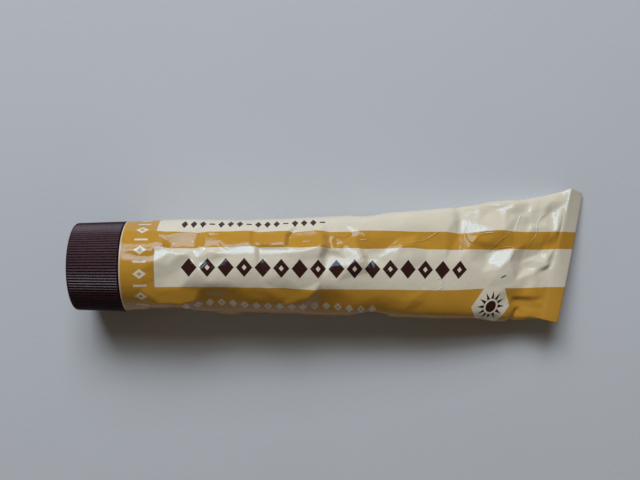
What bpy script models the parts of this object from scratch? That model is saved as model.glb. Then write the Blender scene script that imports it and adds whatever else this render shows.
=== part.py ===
"""A collapsible metal cream tube with a ribbed screw cap, lying on its belly.

The tube's axis runs along X, with the cap at -X and the folded end at +X. Lengths are in metres.
A place along the sleeve is counted from the shoulder's edge, and a place round it from its top
line, positive towards +Y.
"""

import functools
import math

import bpy
import bmesh
import numpy as np
from mathutils import Matrix, Vector

# Sleeve, the thin wall that is squeezed
SLEEVE_RADIUS = 0.015
SLEEVE_LENGTH = 0.150
FOIL_WALL = 0.00015

# Folded end: the flattened sleeve is rolled over twice, under the tube
FOLD_WIDTH = 0.0054
FOLD_LAYER_GAP = 0.00015
FOLD_INNER_STEP = 0.0004
CRIMP_HEIGHT = 0.0077
CRIMP_SIDE_STEP = 0.0045
CRIMP_SKEW_DEGREES = 15.5
CRIMP_ROLL_DEGREES = -10.5
FOLD_DROP_DEGREES = 6.0
FOLD_DROP_CHANGE_DEGREES = 16.0

# How the belly lies on the table
BELLY_SINK = 0.0004

# Shoulder and nozzle, one piece with the sleeve
SHOULDER_DROP = 0.0048
SHOULDER_WALL = 0.0008
SHOULDER_ROUND = 0.0005
NECK_RADIUS = 0.0047
NECK_LENGTH = 0.0093
NECK_FILLET = 0.0005
NECK_CHAMFER = 0.0004
BORE_RADIUS = 0.0025

# Cap
CAP_TOP_WALL = 0.0014
CAP_SKIRT_WALL = 0.0012
CAP_MOUTH_LAND = 0.0002
CAP_TAPER = 0.0005
CAP_EDGE_ROUND = 0.0009
CAP_RIB_COUNT = 100
CAP_RIB_DEPTH = 0.00036
BARREL_WALL = 0.0015
BARREL_BORE_RADIUS = 0.0058
BARREL_CHAMFER = 0.0004
BARREL_SHOULDER_GAP = 0.0009

# Loose wad in the cap
LINER_THICKNESS = 0.001
LINER_EDGE_ROUND = 0.00015

# Sealing bead behind the fold, and where the cavity ends
SEAL_LENGTH = 0.0024
CAVITY_TIP = 0.001

# Clearances
SEAT_GAP = 0.0003
CUT_OVERRUN = 0.001

# Fineness of the mesh
AROUND_COUNT = 40
SLEEVE_STATION_COUNT = 32
FOLD_TURN_COUNT = 5
CAP_TURN_COUNT = 60
EDGE_ROUND_COUNT = 3
ARC_SAMPLE_COUNT = 720
HALVING_COUNT = 30
MERGE_DISTANCE = 0.00001
SHARP_ANGLE_DEGREES = 40.0

# Shape of the sleeve, as powers of the share of its length
WIDENING_POWER = 2.0
LATE_WIDENING_SHARE = 0.12
LATE_WIDENING_POWER = 30.0
SIDE_STEP_POWER = 5.0
FLAT_TOP_POWER = 0.60
FLAT_TOP_START_SHARE = 0.35
FLAT_TOP_END_SHARE = 0.75
CRIMP_SQUARENESS_POWER = 0.25
SQUARE_START_SHARE = 0.95
LIFT_START_SHARE = 0.93
LIFT_POWER = 1.5
SKEW_START_SHARE = 0.55
ROLL_START_SHARE = 0.35
ROLL_END_SHARE = 0.70
SINK_END_SHARE = 0.08
DENT_SHIFT_POWER = 2.0
DENT_SHIFT_SHARE = 0.0355

# One rib: land corner, land corner, bottom of the groove, as shares of its pitch and depth
RIB_OUTLINE_SHARES = ((0.0, 0.0), (0.14, 0.0), (0.57, 1.0))

# Dents pressed in by hand: place along and round the sleeve, reach along and round, and depth.
# They are shares of the sleeve's length, girth, length, girth and radius. Where the last one is
# below zero the foil bulges out.
DENT_SHARES = (
    (0.085, -0.240, 0.110, 0.075, 0.085),
    (0.120, 0.240, 0.140, 0.080, -0.040),
    (0.150, 0.095, 0.055, 0.100, 0.060),
    (0.205, -0.130, 0.080, 0.090, 0.090),
    (0.225, -0.260, 0.050, 0.060, -0.070),
    (0.300, 0.170, 0.070, 0.080, 0.030),
    (0.440, -0.140, 0.065, 0.085, 0.075),
    (0.467, 0.106, 0.060, 0.085, 0.050),
    (0.535, -0.245, 0.055, 0.070, 0.250),
    (0.530, 0.245, 0.050, 0.055, 0.050),
    (0.560, -0.170, 0.060, 0.070, 0.040),
    (0.630, 0.085, 0.095, 0.075, 0.045),
    (0.787, 0.160, 0.080, 0.085, 0.070),
    (0.810, 0.235, 0.060, 0.060, -0.060),
    (0.820, 0.020, 0.060, 0.080, 0.035),
    (0.870, -0.140, 0.050, 0.055, 0.060),
    (0.890, -0.255, 0.100, 0.070, -0.150),
    (0.935, 0.040, 0.045, 0.085, 0.035),
)

# Sizes worked out from the ones above
FOIL_PAIR = 2.0 * FOIL_WALL
LAYER_STEP = FOIL_PAIR + FOLD_LAYER_GAP
FLAT_START = SLEEVE_LENGTH - FOLD_WIDTH * math.cos(math.radians(FOLD_DROP_DEGREES))
CAVITY_END = FLAT_START - CAVITY_TIP
SEAL_END = CAVITY_END - SEAT_GAP
SEAL_START = SEAL_END - SEAL_LENGTH
CREAM_END = SEAL_START - SEAT_GAP
SLEEVE_GIRTH = 2.0 * math.pi * SLEEVE_RADIUS
SHOULDER_SLOPE = SHOULDER_DROP / (SLEEVE_RADIUS - NECK_RADIUS)
NECK_TIP = -(SHOULDER_DROP + NECK_LENGTH)
LINER_CENTRE = NECK_TIP - SEAT_GAP - LINER_THICKNESS / 2.0
LINER_RADIUS = BARREL_BORE_RADIUS - SEAT_GAP
CAP_CEILING = NECK_TIP - 2.0 * SEAT_GAP - LINER_THICKNESS
CAP_END = CAP_CEILING - CAP_TOP_WALL
SKIRT_LAND_RADIUS = SLEEVE_RADIUS - CAP_RIB_DEPTH - CAP_MOUTH_LAND
SKIRT_INNER_RADIUS = SLEEVE_RADIUS - CAP_SKIRT_WALL
BARREL_RADIUS = BARREL_BORE_RADIUS + BARREL_WALL


def shoulder_face(radius):
    """Where along the axis the shoulder's cone has this radius."""
    return -(SLEEVE_RADIUS - radius) * SHOULDER_SLOPE


CAP_MOUTH = shoulder_face(SKIRT_LAND_RADIUS) - SEAT_GAP
CAP_CHAMFER_START = shoulder_face(SKIRT_INNER_RADIUS) - SEAT_GAP
BARREL_END = shoulder_face(BARREL_BORE_RADIUS) - BARREL_SHOULDER_GAP


def smooth_share(start, end, value):
    """Rises from 0 at the start to 1 at the end, level at both."""
    share = min(max((value - start) / (end - start), 0.0), 1.0)
    return share * share * (3.0 - 2.0 * share)


def sleeve_half_width(share):
    """From the round shoulder to the flat end, whose width is half the girth."""
    early = (1.0 - LATE_WIDENING_SHARE) * share ** WIDENING_POWER
    late = LATE_WIDENING_SHARE * share ** LATE_WIDENING_POWER
    return SLEEVE_RADIUS * (1.0 + (math.pi / 2.0 - 1.0) * (early + late))


def squareness(share):
    """The power that shapes the section: 1 is an oval, less is flatter on top with tighter sides."""
    flat_top = smooth_share(FLAT_TOP_START_SHARE, FLAT_TOP_END_SHARE, share)
    at_crimp = smooth_share(SQUARE_START_SHARE, 1.0, share)
    change = (FLAT_TOP_POWER - 1.0) * flat_top + (CRIMP_SQUARENESS_POWER - FLAT_TOP_POWER) * at_crimp
    return 1.0 + change


def section_curve(wide, high, power):
    """Points round a section, from its top towards +Y, and the way run at each."""
    angles = np.linspace(0.0, 2.0 * math.pi, ARC_SAMPLE_COUNT + 1)
    across = wide * np.sin(angles)
    up = high * np.sign(np.cos(angles)) * np.abs(np.cos(angles)) ** power
    run = np.concatenate(([0.0], np.cumsum(np.hypot(np.diff(across), np.diff(up)))))
    return across, up, run


@functools.cache
def sleeve_half_height(share):
    """The foil doesn't stretch, so the sleeve gets lower as it widens."""
    low, high = FOIL_WALL, SLEEVE_RADIUS
    for _ in range(HALVING_COUNT):
        middle = (low + high) / 2.0
        girth = section_curve(sleeve_half_width(share), middle, squareness(share))[2][-1]
        low, high = (middle, high) if girth < SLEEVE_GIRTH else (low, middle)
    return low


def section_roll(share):
    """The flattened end leans to one side, so that one of its corners is higher."""
    return math.radians(CRIMP_ROLL_DEGREES) * smooth_share(ROLL_START_SHARE, ROLL_END_SHARE, share)


def section_reach(share):
    """How far down the leaning section reaches from its middle."""
    roll = section_roll(share)
    return math.hypot(sleeve_half_height(share) * math.cos(roll), sleeve_half_width(share) * math.sin(roll))


def section_middle(share):
    """The middle of the sleeve's section, with its belly on the table up to the lift."""
    raised = max((share - LIFT_START_SHARE) / (1.0 - LIFT_START_SHARE), 0.0) ** LIFT_POWER
    lift = (CRIMP_HEIGHT - section_reach(1.0)) * raised
    sink = BELLY_SINK * smooth_share(0.0, SINK_END_SHARE, share) * (1.0 - raised)
    height = section_reach(share) + lift - sink
    side = CRIMP_SIDE_STEP * share ** SIDE_STEP_POWER
    return Vector((FLAT_START * share, side, height - SLEEVE_RADIUS))


def section_turn(share):
    """The flat end isn't square to the axis, and one of its corners is higher."""
    twist = smooth_share(SKEW_START_SHARE, 1.0, share)
    skew = Matrix.Rotation(-math.radians(CRIMP_SKEW_DEGREES) * twist, 3, "Z")
    return skew @ Matrix.Rotation(section_roll(share), 3, "X")


def section_outline(share, inset):
    """Even steps round the section, from its top towards +Y: across, up and outward directions."""
    half_width = sleeve_half_width(share) - inset
    half_height = sleeve_half_height(share) - inset
    across, up, run = section_curve(half_width, half_height, squareness(share))
    even = run[-1] * np.arange(AROUND_COUNT) / AROUND_COUNT
    across = np.interp(even, run, across)
    up = np.interp(even, run, up)
    out_across = across / half_width ** 2
    out_up = up / half_height ** 2
    size = np.hypot(out_across, out_up)
    return across, up, out_across / size, out_up / size


def dent_depth(along, arc):
    """How far the foil is pressed in at a place on it."""
    depth = np.zeros_like(arc)
    for along_share, arc_share, along_reach, arc_reach, depth_share in DENT_SHARES:
        far_along = (along / SLEEVE_LENGTH - along_share) / along_reach
        far_round = (arc / SLEEVE_GIRTH - arc_share) / arc_reach
        near = np.clip(1.0 - far_along ** 2 - far_round ** 2, 0.0, 1.0)
        depth = depth + SLEEVE_RADIUS * depth_share * near ** 2
    return depth


def sleeve_ring(along, inset):
    """One ring of points on the sleeve, or on a like surface inside it."""
    share = along / FLAT_START
    across, up, out_across, out_up = section_outline(share, inset)
    turns = np.arange(AROUND_COUNT) / AROUND_COUNT
    arc_shares = turns - np.where(turns > 0.5, 1.0, 0.0)
    arc = SLEEVE_GIRTH * (arc_shares + DENT_SHIFT_SHARE * share ** DENT_SHIFT_POWER)
    depth = dent_depth(along, arc)
    across = across - out_across * depth
    up = up - out_up * depth
    middle = section_middle(share)
    turn = section_turn(share)
    points = []
    for step_across, step_up in zip(across, up):
        point = middle + turn @ Vector((0.0, step_across, step_up))
        point.z = max(point.z, inset - SLEEVE_RADIUS)
        points.append(point)
    return points


def round_ring(along, radius):
    """One ring of points on a round stretch, in the same order as the sleeve's."""
    points = []
    for step in range(AROUND_COUNT):
        angle = 2.0 * math.pi * step / AROUND_COUNT
        points.append(Vector((along, radius * math.sin(angle), radius * math.cos(angle))))
    return points


def fold_route():
    """The rolled fold, seen from its end: forward, up and the turn of the foil at each stop."""
    straight_end = FOLD_WIDTH - LAYER_STEP - FOIL_WALL
    small_turn = LAYER_STEP / 2.0
    inner_end = FOLD_INNER_STEP + small_turn + FOIL_WALL
    stops = []
    for step in range(FOLD_TURN_COUNT + 1):
        turn = math.pi * step / FOLD_TURN_COUNT
        forward = straight_end + LAYER_STEP * math.sin(turn)
        stops.append((forward, LAYER_STEP * (math.cos(turn) - 1.0), turn))
    for step in range(FOLD_TURN_COUNT + 1):
        turn = math.pi * step / FOLD_TURN_COUNT
        forward = inner_end - small_turn * math.sin(turn)
        stops.append((forward, -2.0 * LAYER_STEP + small_turn * (1.0 - math.cos(turn)), math.pi + turn))
    stops.append((straight_end - FOLD_LAYER_GAP, -LAYER_STEP, 2.0 * math.pi))
    return stops


def fold_rings():
    """The flattened foil, two walls thick, carried along the rolled fold, which leans down."""
    across, up, _, _ = section_outline(1.0, 0.0)
    middle = section_middle(1.0)
    turn = section_turn(1.0)
    drops = np.radians(FOLD_DROP_DEGREES + FOLD_DROP_CHANGE_DEGREES * across / sleeve_half_width(1.0))
    rings = []
    for forward, rise, bend in fold_route():
        points = []
        for step_across, step_up, drop in zip(across, up, drops):
            ahead = forward + step_up * math.sin(bend)
            above = rise + step_up * math.cos(bend)
            lean_ahead = ahead * math.cos(drop) + above * math.sin(drop)
            lean_above = above * math.cos(drop) - ahead * math.sin(drop)
            points.append(middle + turn @ Vector((lean_ahead, step_across, lean_above)))
        rings.append(points)
    return rings


def sleeve_stations():
    """Places of the rings along the sleeve: even steps, then the ends of bead and cavity."""
    even = [CREAM_END * step / SLEEVE_STATION_COUNT for step in range(1, SLEEVE_STATION_COUNT + 1)]
    return even + [SEAL_START, SEAL_END, CAVITY_END]


def outer_nozzle_rings():
    """From the shoulder's edge over the cone and along the neck to its tip."""
    cone_foot = -SHOULDER_DROP
    edge = SHOULDER_ROUND
    return [
        round_ring(0.0, SLEEVE_RADIUS),
        round_ring(shoulder_face(SLEEVE_RADIUS - edge), SLEEVE_RADIUS - edge),
        round_ring(shoulder_face(NECK_RADIUS + NECK_FILLET), NECK_RADIUS + NECK_FILLET),
        round_ring(cone_foot - NECK_FILLET, NECK_RADIUS),
        round_ring(NECK_TIP + NECK_CHAMFER, NECK_RADIUS),
        round_ring(NECK_TIP, NECK_RADIUS - NECK_CHAMFER),
    ]


def inner_nozzle_rings(inset):
    """From the neck's tip down the bore and out along the inside of the shoulder."""
    lean = math.hypot(1.0, SHOULDER_SLOPE)
    wall_drop = SHOULDER_WALL * lean
    bore = BORE_RADIUS - inset
    sleeve = SLEEVE_RADIUS - FOIL_WALL - inset
    slack = inset * lean
    return [
        round_ring(shoulder_face(BORE_RADIUS) + wall_drop - NECK_FILLET + slack, bore),
        round_ring(shoulder_face(BORE_RADIUS + NECK_FILLET) + wall_drop + slack, bore + NECK_FILLET),
        round_ring(shoulder_face(sleeve) + wall_drop + slack, sleeve),
    ]


def loft(name, rings, material, turn_back=None):
    """Skins rings of points. Both sides of a wall lean their triangles the same way."""
    shape = bmesh.new()
    loops = [[shape.verts.new(point) for point in ring] for ring in rings]
    for index, (near, far) in enumerate(zip(loops, loops[1:])):
        inside = turn_back is not None and index >= turn_back
        for step in range(AROUND_COUNT):
            after = (step + 1) % AROUND_COUNT
            if inside:
                shape.faces.new((near[after], far[after], far[step]))
                shape.faces.new((near[after], far[step], near[step]))
            else:
                shape.faces.new((near[step], near[after], far[after]))
                shape.faces.new((near[step], far[after], far[step]))
    for loop in (loops[0], loops[-1]):
        close_ring(shape, loop)
    bmesh.ops.recalc_face_normals(shape, faces=shape.faces)
    return finish(name, shape, material)


def close_ring(shape, loop):
    """Closes a flat or round end with strips between its upper and lower points."""
    quarter = AROUND_COUNT // 4
    for step in range(-quarter, quarter):
        corners = [loop[step], loop[step + 1]]
        for below in (2 * quarter - step - 1, 2 * quarter - step):
            corner = loop[below % AROUND_COUNT]
            if corner not in corners:
                corners.append(corner)
        shape.faces.new(corners)


def finish(name, shape, material):
    """Makes the object, gives it its material and shades its round faces smooth."""
    mesh = bpy.data.meshes.new(name)
    shape.to_mesh(mesh)
    shape.free()
    mesh.materials.append(material)
    mesh.shade_smooth()
    mesh.set_sharp_from_angle(angle=math.radians(SHARP_ANGLE_DEGREES))
    piece = bpy.data.objects.new(name, mesh)
    PARTS.objects.link(piece)
    return piece


def turned_cutter(name, profile):
    """A profile of places along the axis and radii, turned about X and closed."""
    mesh = bpy.data.meshes.new(name)
    corners = [(along, 0.0, radius) for along, radius in reversed(profile)]
    edges = [(index, index + 1) for index in range(len(corners) - 1)]
    mesh.from_pydata(corners, edges, [])
    guide = bpy.data.objects.new(name, mesh)
    CUTTERS.objects.link(guide)
    turn = guide.modifiers.new("turn", "SCREW")
    turn.axis = "X"
    turn.steps = CAP_TURN_COUNT
    turn.render_steps = CAP_TURN_COUNT
    turn.use_merge_vertices = True
    turn.merge_threshold = MERGE_DISTANCE
    guide.hide_render = True
    guide.display_type = "WIRE"
    return guide


def make_tube_body(material):
    """Sleeve, shoulder, nozzle and folded end are one piece of metal."""
    stations = sleeve_stations()
    flat_ring = [sleeve_ring(FLAT_START, 0.0)]
    outer = [sleeve_ring(along, 0.0) for along in stations]
    inner = [sleeve_ring(along, FOIL_WALL) for along in stations]
    mouth = [round_ring(NECK_TIP, BORE_RADIUS)]
    outside = list(reversed(outer + flat_ring + fold_rings())) + outer_nozzle_rings()
    rings = outside + mouth + inner_nozzle_rings(0.0) + inner
    return loft("tube_body", rings, material, len(outside))


def make_cream(material):
    """The filling, clear of the wall all round, from the nozzle's bore to the bead."""
    inset = FOIL_WALL + SEAT_GAP
    start = [round_ring(-SHOULDER_DROP, BORE_RADIUS - SEAT_GAP)]
    sleeve = [sleeve_ring(along, inset) for along in sleeve_stations() if along <= CREAM_END]
    rings = start + inner_nozzle_rings(SEAT_GAP) + sleeve
    return loft("cream", rings, material, 0)


def make_end_seal(material):
    """The bead of sealing compound that fills the wedge behind the fold."""
    inset = FOIL_WALL + SEAT_GAP
    rings = [sleeve_ring(along, inset) for along in (SEAL_START, SEAL_END)]
    return loft("end_seal", rings, material, 0)


def ribbed_outline(shape):
    """The cap's ribbed outline at its mouth, as one flat face."""
    radius = SLEEVE_RADIUS
    corners = []
    for rib in range(CAP_RIB_COUNT):
        for turn_share, depth_share in RIB_OUTLINE_SHARES:
            angle = 2.0 * math.pi * (rib + turn_share) / CAP_RIB_COUNT
            reach = radius - CAP_RIB_DEPTH * depth_share
            corners.append(shape.verts.new((0.0, reach * math.sin(angle), reach * math.cos(angle))))
    return shape.faces.new(corners)


def make_cap(material):
    """A ribbed, slightly tapered blank, hollowed by one turned cutter that leaves the barrel."""
    shape = bmesh.new()
    face = ribbed_outline(shape)
    end_radius = SLEEVE_RADIUS - CAP_TAPER
    stops = [(CAP_END - CAP_MOUTH + CAP_EDGE_ROUND, end_radius)]
    for step in range(1, EDGE_ROUND_COUNT + 1):
        angle = math.pi / 2.0 * step / EDGE_ROUND_COUNT
        along = CAP_END - CAP_MOUTH + CAP_EDGE_ROUND * (1.0 - math.sin(angle))
        stops.append((along, end_radius - CAP_EDGE_ROUND * (1.0 - math.cos(angle))))
    here, size, spent = 0.0, SLEEVE_RADIUS, []
    for along, radius in stops:
        grown = bmesh.ops.extrude_face_region(shape, geom=[face])
        bmesh.ops.delete(shape, geom=spent, context="FACES_ONLY")
        moved = [item for item in grown["geom"] if isinstance(item, bmesh.types.BMVert)]
        face = next(item for item in grown["geom"] if isinstance(item, bmesh.types.BMFace))
        spent = [face]
        bmesh.ops.scale(shape, vec=(1.0, radius / size, radius / size), verts=moved)
        bmesh.ops.translate(shape, vec=(along - here, 0.0, 0.0), verts=moved)
        here, size = along, radius
    bmesh.ops.recalc_face_normals(shape, faces=shape.faces)
    cap = finish("cap", shape, material)
    cutter = turned_cutter("cap_cavity", cap_cavity_profile())
    hollow = cap.modifiers.new("hollow", "BOOLEAN")
    hollow.operation = "DIFFERENCE"
    hollow.object = cutter
    cutter.parent = cap
    return cap


def cap_cavity_profile():
    """Bore, barrel and skirt cavity, counted from the cap's mouth."""
    ceiling = CAP_CEILING - CAP_MOUTH
    barrel_end = BARREL_END - CAP_MOUTH
    chamfer = CAP_CHAMFER_START - CAP_MOUTH
    beyond = CUT_OVERRUN
    return [
        (ceiling, 0.0),
        (ceiling, BARREL_BORE_RADIUS),
        (barrel_end - BARREL_CHAMFER, BARREL_BORE_RADIUS),
        (barrel_end, BARREL_BORE_RADIUS + BARREL_CHAMFER),
        (barrel_end, BARREL_RADIUS - BARREL_CHAMFER),
        (barrel_end - BARREL_CHAMFER, BARREL_RADIUS),
        (ceiling, BARREL_RADIUS),
        (ceiling, SKIRT_INNER_RADIUS - CAP_TAPER),
        (chamfer, SKIRT_INNER_RADIUS),
        (0.0, SKIRT_LAND_RADIUS),
        (beyond, SKIRT_LAND_RADIUS + beyond / SHOULDER_SLOPE),
        (beyond, 0.0),
    ]


def make_cap_liner(material):
    """The soft wad that the nozzle's tip is pressed against, with a small round on its edges."""
    shape = bmesh.new()
    turn = Matrix.Rotation(math.pi / 2.0, 4, "Y")
    bmesh.ops.create_cone(
        shape, cap_ends=True, segments=CAP_TURN_COUNT, radius1=LINER_RADIUS, radius2=LINER_RADIUS,
        depth=LINER_THICKNESS, matrix=turn)
    liner = finish("cap_liner", shape, material)
    edge = liner.modifiers.new("edge", "BEVEL")
    edge.width = LINER_EDGE_ROUND
    edge.segments = 1
    return liner


def plain_material(name, color, roughness, metallic):
    """A plain finish in the piece's colour."""
    material = bpy.data.materials.new(name)
    material.use_nodes = True
    shader = material.node_tree.nodes["Principled BSDF"]
    shader.inputs["Base Color"].default_value = color
    shader.inputs["Roughness"].default_value = roughness
    shader.inputs["Metallic"].default_value = metallic
    return material


def lay_on_table(frame, pieces):
    """Moves the whole tube so that its box stands on the origin, centred."""
    bpy.context.view_layer.update()
    corners = [piece.matrix_world @ vertex.co for piece in pieces for vertex in piece.data.vertices]
    low = [min(corner[axis] for corner in corners) for axis in range(3)]
    high = [max(corner[axis] for corner in corners) for axis in range(3)]
    frame.location = (-(low[0] + high[0]) / 2.0, -(low[1] + high[1]) / 2.0, -low[2])


def build_tube():
    """Makes every piece, places it on the tube's axis and lays the tube down."""
    body = make_tube_body(plain_material("lacquered_aluminium", (0.52, 0.25, 0.05, 1.0), 0.25, 0.2))
    seal = make_end_seal(plain_material("sealing_compound", (0.75, 0.72, 0.62, 1.0), 0.6, 0.0))
    cream = make_cream(plain_material("white_cream", (0.85, 0.83, 0.76, 1.0), 0.4, 0.0))
    cap = make_cap(plain_material("brown_moulding", (0.035, 0.01, 0.013, 1.0), 0.25, 0.0))
    liner = make_cap_liner(plain_material("liner_wad", (0.8, 0.8, 0.76, 1.0), 0.6, 0.0))
    frame = bpy.data.objects.new("tube_axis", None)
    PARTS.objects.link(frame)
    for piece in (body, seal, cream, cap, liner):
        piece.parent = frame
    cap.location.x = CAP_MOUTH
    liner.location.x = LINER_CENTRE
    lay_on_table(frame, (body, cap))


for old in list(bpy.data.objects):
    bpy.data.objects.remove(old)
PARTS = bpy.data.collections.new("cream_tube")
CUTTERS = bpy.data.collections.new("cutters")
bpy.context.scene.collection.children.link(PARTS)
bpy.context.scene.collection.children.link(CUTTERS)
build_tube()
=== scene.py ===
"""Looks of a used metal cream tube with a ribbed screw cap, lying on its belly on a table.

The tube's axis runs along X, with the cap at -X and the folded end at +X. Lengths are in metres.
A place along the sleeve is counted from the shoulder's edge, and a place round it from its top
line, positive towards +Y. The sleeve's broad shape repeats the sizes of the solid model.
"""

import functools
import math

import bpy
import numpy as np
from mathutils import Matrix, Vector
from mathutils.geometry import delaunay_2d_cdt


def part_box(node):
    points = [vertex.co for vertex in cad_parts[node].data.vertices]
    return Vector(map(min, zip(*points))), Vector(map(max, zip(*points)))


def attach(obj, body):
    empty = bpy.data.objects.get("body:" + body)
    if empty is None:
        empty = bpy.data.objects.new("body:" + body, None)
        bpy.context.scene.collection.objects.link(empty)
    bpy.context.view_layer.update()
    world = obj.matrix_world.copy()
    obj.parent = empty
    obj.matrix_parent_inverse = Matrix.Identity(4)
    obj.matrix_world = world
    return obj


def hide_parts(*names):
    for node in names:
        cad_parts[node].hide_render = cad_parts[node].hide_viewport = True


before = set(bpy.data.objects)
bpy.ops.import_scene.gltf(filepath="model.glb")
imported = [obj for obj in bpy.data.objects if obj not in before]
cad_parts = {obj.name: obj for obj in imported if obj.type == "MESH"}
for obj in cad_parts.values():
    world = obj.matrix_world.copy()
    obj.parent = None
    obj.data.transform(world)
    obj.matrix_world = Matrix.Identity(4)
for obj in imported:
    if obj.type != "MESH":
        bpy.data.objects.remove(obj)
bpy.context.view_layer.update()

# Sleeve and folded end, as in the solid model
SLEEVE_RADIUS = 0.015
SLEEVE_LENGTH = 0.150
FOIL_WALL = 0.00015
FOLD_WIDTH = 0.0054
FOLD_LAYER_GAP = 0.00015
FOLD_INNER_STEP = 0.0004
CRIMP_HEIGHT = 0.0077
CRIMP_SIDE_STEP = 0.0045
CRIMP_SKEW_DEGREES = 15.5
CRIMP_ROLL_DEGREES = -10.5
FOLD_DROP_DEGREES = 6.0
FOLD_DROP_CHANGE_DEGREES = 16.0
BELLY_SINK = 0.0004
WIDENING_POWER = 2.0
LATE_WIDENING_SHARE = 0.12
LATE_WIDENING_POWER = 30.0
SIDE_STEP_POWER = 5.0
FLAT_TOP_POWER = 0.60
FLAT_TOP_START_SHARE = 0.35
FLAT_TOP_END_SHARE = 0.75
CRIMP_SQUARENESS_POWER = 0.25
SQUARE_START_SHARE = 0.95
LIFT_START_SHARE = 0.93
LIFT_POWER = 1.5
SKEW_START_SHARE = 0.55
ROLL_START_SHARE = 0.35
ROLL_END_SHARE = 0.70
SINK_END_SHARE = 0.08
DENT_SHIFT_POWER = 2.0
DENT_SHIFT_SHARE = 0.0355

# Broad dents, in shares: place along and round the sleeve, reach along and round it, and depth
DENT_SHARES = (
    (0.085, -0.240, 0.110, 0.075, 0.085),
    (0.120, 0.240, 0.140, 0.080, -0.040),
    (0.150, 0.095, 0.055, 0.100, 0.060),
    (0.205, -0.130, 0.080, 0.090, 0.090),
    (0.225, -0.260, 0.050, 0.060, -0.070),
    (0.300, 0.170, 0.070, 0.080, 0.030),
    (0.440, -0.140, 0.065, 0.085, 0.075),
    (0.467, 0.106, 0.060, 0.085, 0.050),
    (0.535, -0.245, 0.055, 0.070, 0.250),
    (0.530, 0.245, 0.050, 0.055, 0.050),
    (0.560, -0.170, 0.060, 0.070, 0.040),
    (0.630, 0.085, 0.095, 0.075, 0.045),
    (0.787, 0.160, 0.080, 0.085, 0.070),
    (0.810, 0.235, 0.060, 0.060, -0.060),
    (0.820, 0.020, 0.060, 0.080, 0.035),
    (0.870, -0.140, 0.050, 0.055, 0.060),
    (0.890, -0.255, 0.100, 0.070, -0.150),
    (0.935, 0.040, 0.045, 0.085, 0.035),
)

# Shoulder, neck and its thread
SHOULDER_DROP = 0.0048
SHOULDER_WALL = 0.0008
NECK_RADIUS = 0.0047
NECK_LENGTH = 0.0093
NECK_FILLET = 0.0005
BORE_RADIUS = 0.0025
LIP_ROUND = 0.0004
THREAD_PITCH = 0.0015
THREAD_HEIGHT = 0.0007
THREAD_TURNS = 5
THREAD_START = -0.0066
THREAD_SINK = 0.0001
THREAD_FOOT_SHARE = 0.40
THREAD_CREST_SHARE = 0.14
FILLET_MIDDLE_SHARES = (0.35, 0.15)
ROUND_MIDDLE_SHARE = 0.3
TUCK_SHARE = 0.6

# Cap and its wad
CAP_TOP_WALL = 0.0014
CAP_TAPER = 0.0005
CAP_EDGE_ROUND = 0.0009
CAP_RIB_COUNT = 100
CAP_RIB_DEPTH = 0.00036
CAP_SKIRT_WALL = 0.0012
CAP_MOUTH_LAND = 0.0002
CAP_MOUTH_CHAMFER = 0.0002
BARREL_WALL = 0.0015
BARREL_BORE_RADIUS = 0.0058
BARREL_CHAMFER = 0.0004
BARREL_SHOULDER_GAP = 0.0009
CAP_INNER_CHAMFER = 0.0006
CAP_WALL_SHARES = (0.04, 0.3, 0.6, 0.94, 1.0)
MOUTH_MIDDLE_SHARES = (0.3, 0.4)
RIBBED_EDGE_SHARE = 0.6
RIB_END_SHARE = 0.25
LINER_EDGE_ROUND = 0.00015
LINER_GROOVE_RADIUS = 0.0036
LINER_GROOVE_WIDTH = 0.0009
LINER_GROOVE_DEPTH = 0.00012
GROOVE_FLOOR_SHARE = 0.5
LINER_MIDDLE_SHARE = 0.3
RIB_DEPTH_SHARES = (0.03, 0.16, 0.50, 0.84, 0.97, 0.84, 0.50, 0.16)
RIB_SMOOTH_DEGREES = 52.0
RIB_FADE = 0.0005

# Print on the sleeve: places along it from the shoulder, and round it from its top line
PRINT_DRIFT_SHARE = 0.042
PRINT_DRIFT_START_SHARE = 0.25
PRINT_DRIFT_END_SHARE = 0.80
PRINT_LATE_DRIFT_SHARE = 0.0185
BARE_EDGE = 0.00035
RING_END = 0.0110
PANEL_LOW = -0.0066
PANEL_HIGH = 0.0070
STRIPE_HIGH = 0.0132
UPPER_PANEL_HIGH = 0.0330
BACK_STRIPE_HIGH = 0.0400
LOWER_FIELD_LOW = -0.0270
PRINT_EDGE = 0.00006

# Rows of marks: start, pitch, count, middle round the sleeve, half sizes and stroke
BROAD_DIAMONDS = (0.0190, 0.00588, 16, 0.0001, 0.0026, 0.0031, 0.0013)
SMALL_LOZENGES = (0.0180, 0.00300, 16, 0.0173, 0.0011, 0.0021, 0.0)
PALE_DIAMONDS = (0.0185, 0.00378, 17, -0.0142, 0.0014, 0.0019, 0.0007)

# Ring of marks, badge and chipped spot: places along and round the sleeve, and half sizes
RING_MARK_ALONG = 0.0064
RING_MARK_HALF = (0.0021, 0.0016)
RING_MARK_PITCH_SHARE = 1.0 / 24.0
RING_MARK_STROKE = 0.0007
BADGE_CENTRE = (0.1239, -0.0128)
BADGE_RADIUS = 0.0075
SUN_RADIUS = 0.0020
SUN_RAY_REACH = (0.0027, 0.0054)
SUN_RAY_COUNT = 12
SUN_RAY_SLOPE = 0.22
NICK_CENTRE = (0.1264, -0.0026)
NICK_HALF = (0.0011, 0.00035)
NICK_TURN_DEGREES = 25.0
NICK_EDGE_SHARE = 0.25

# Fineness of the meshes
AROUND_COUNT = 208
ALONG_COUNT = 318
INNER_STEP = 4
INNER_STEP_THIN = 2
FOLD_TURN_COUNT = 12
ARC_SAMPLE_COUNT = 1440
HALVING_COUNT = 30
POINTS_A_RIB = len(RIB_DEPTH_SHARES)
CAP_EDGE_STEP_COUNT = 7
CREAM_DOME_STEP_COUNT = 6
FOLD_STRAIGHT_STEP_COUNT = 4
MERGE_DISTANCE = 0.00001

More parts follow.
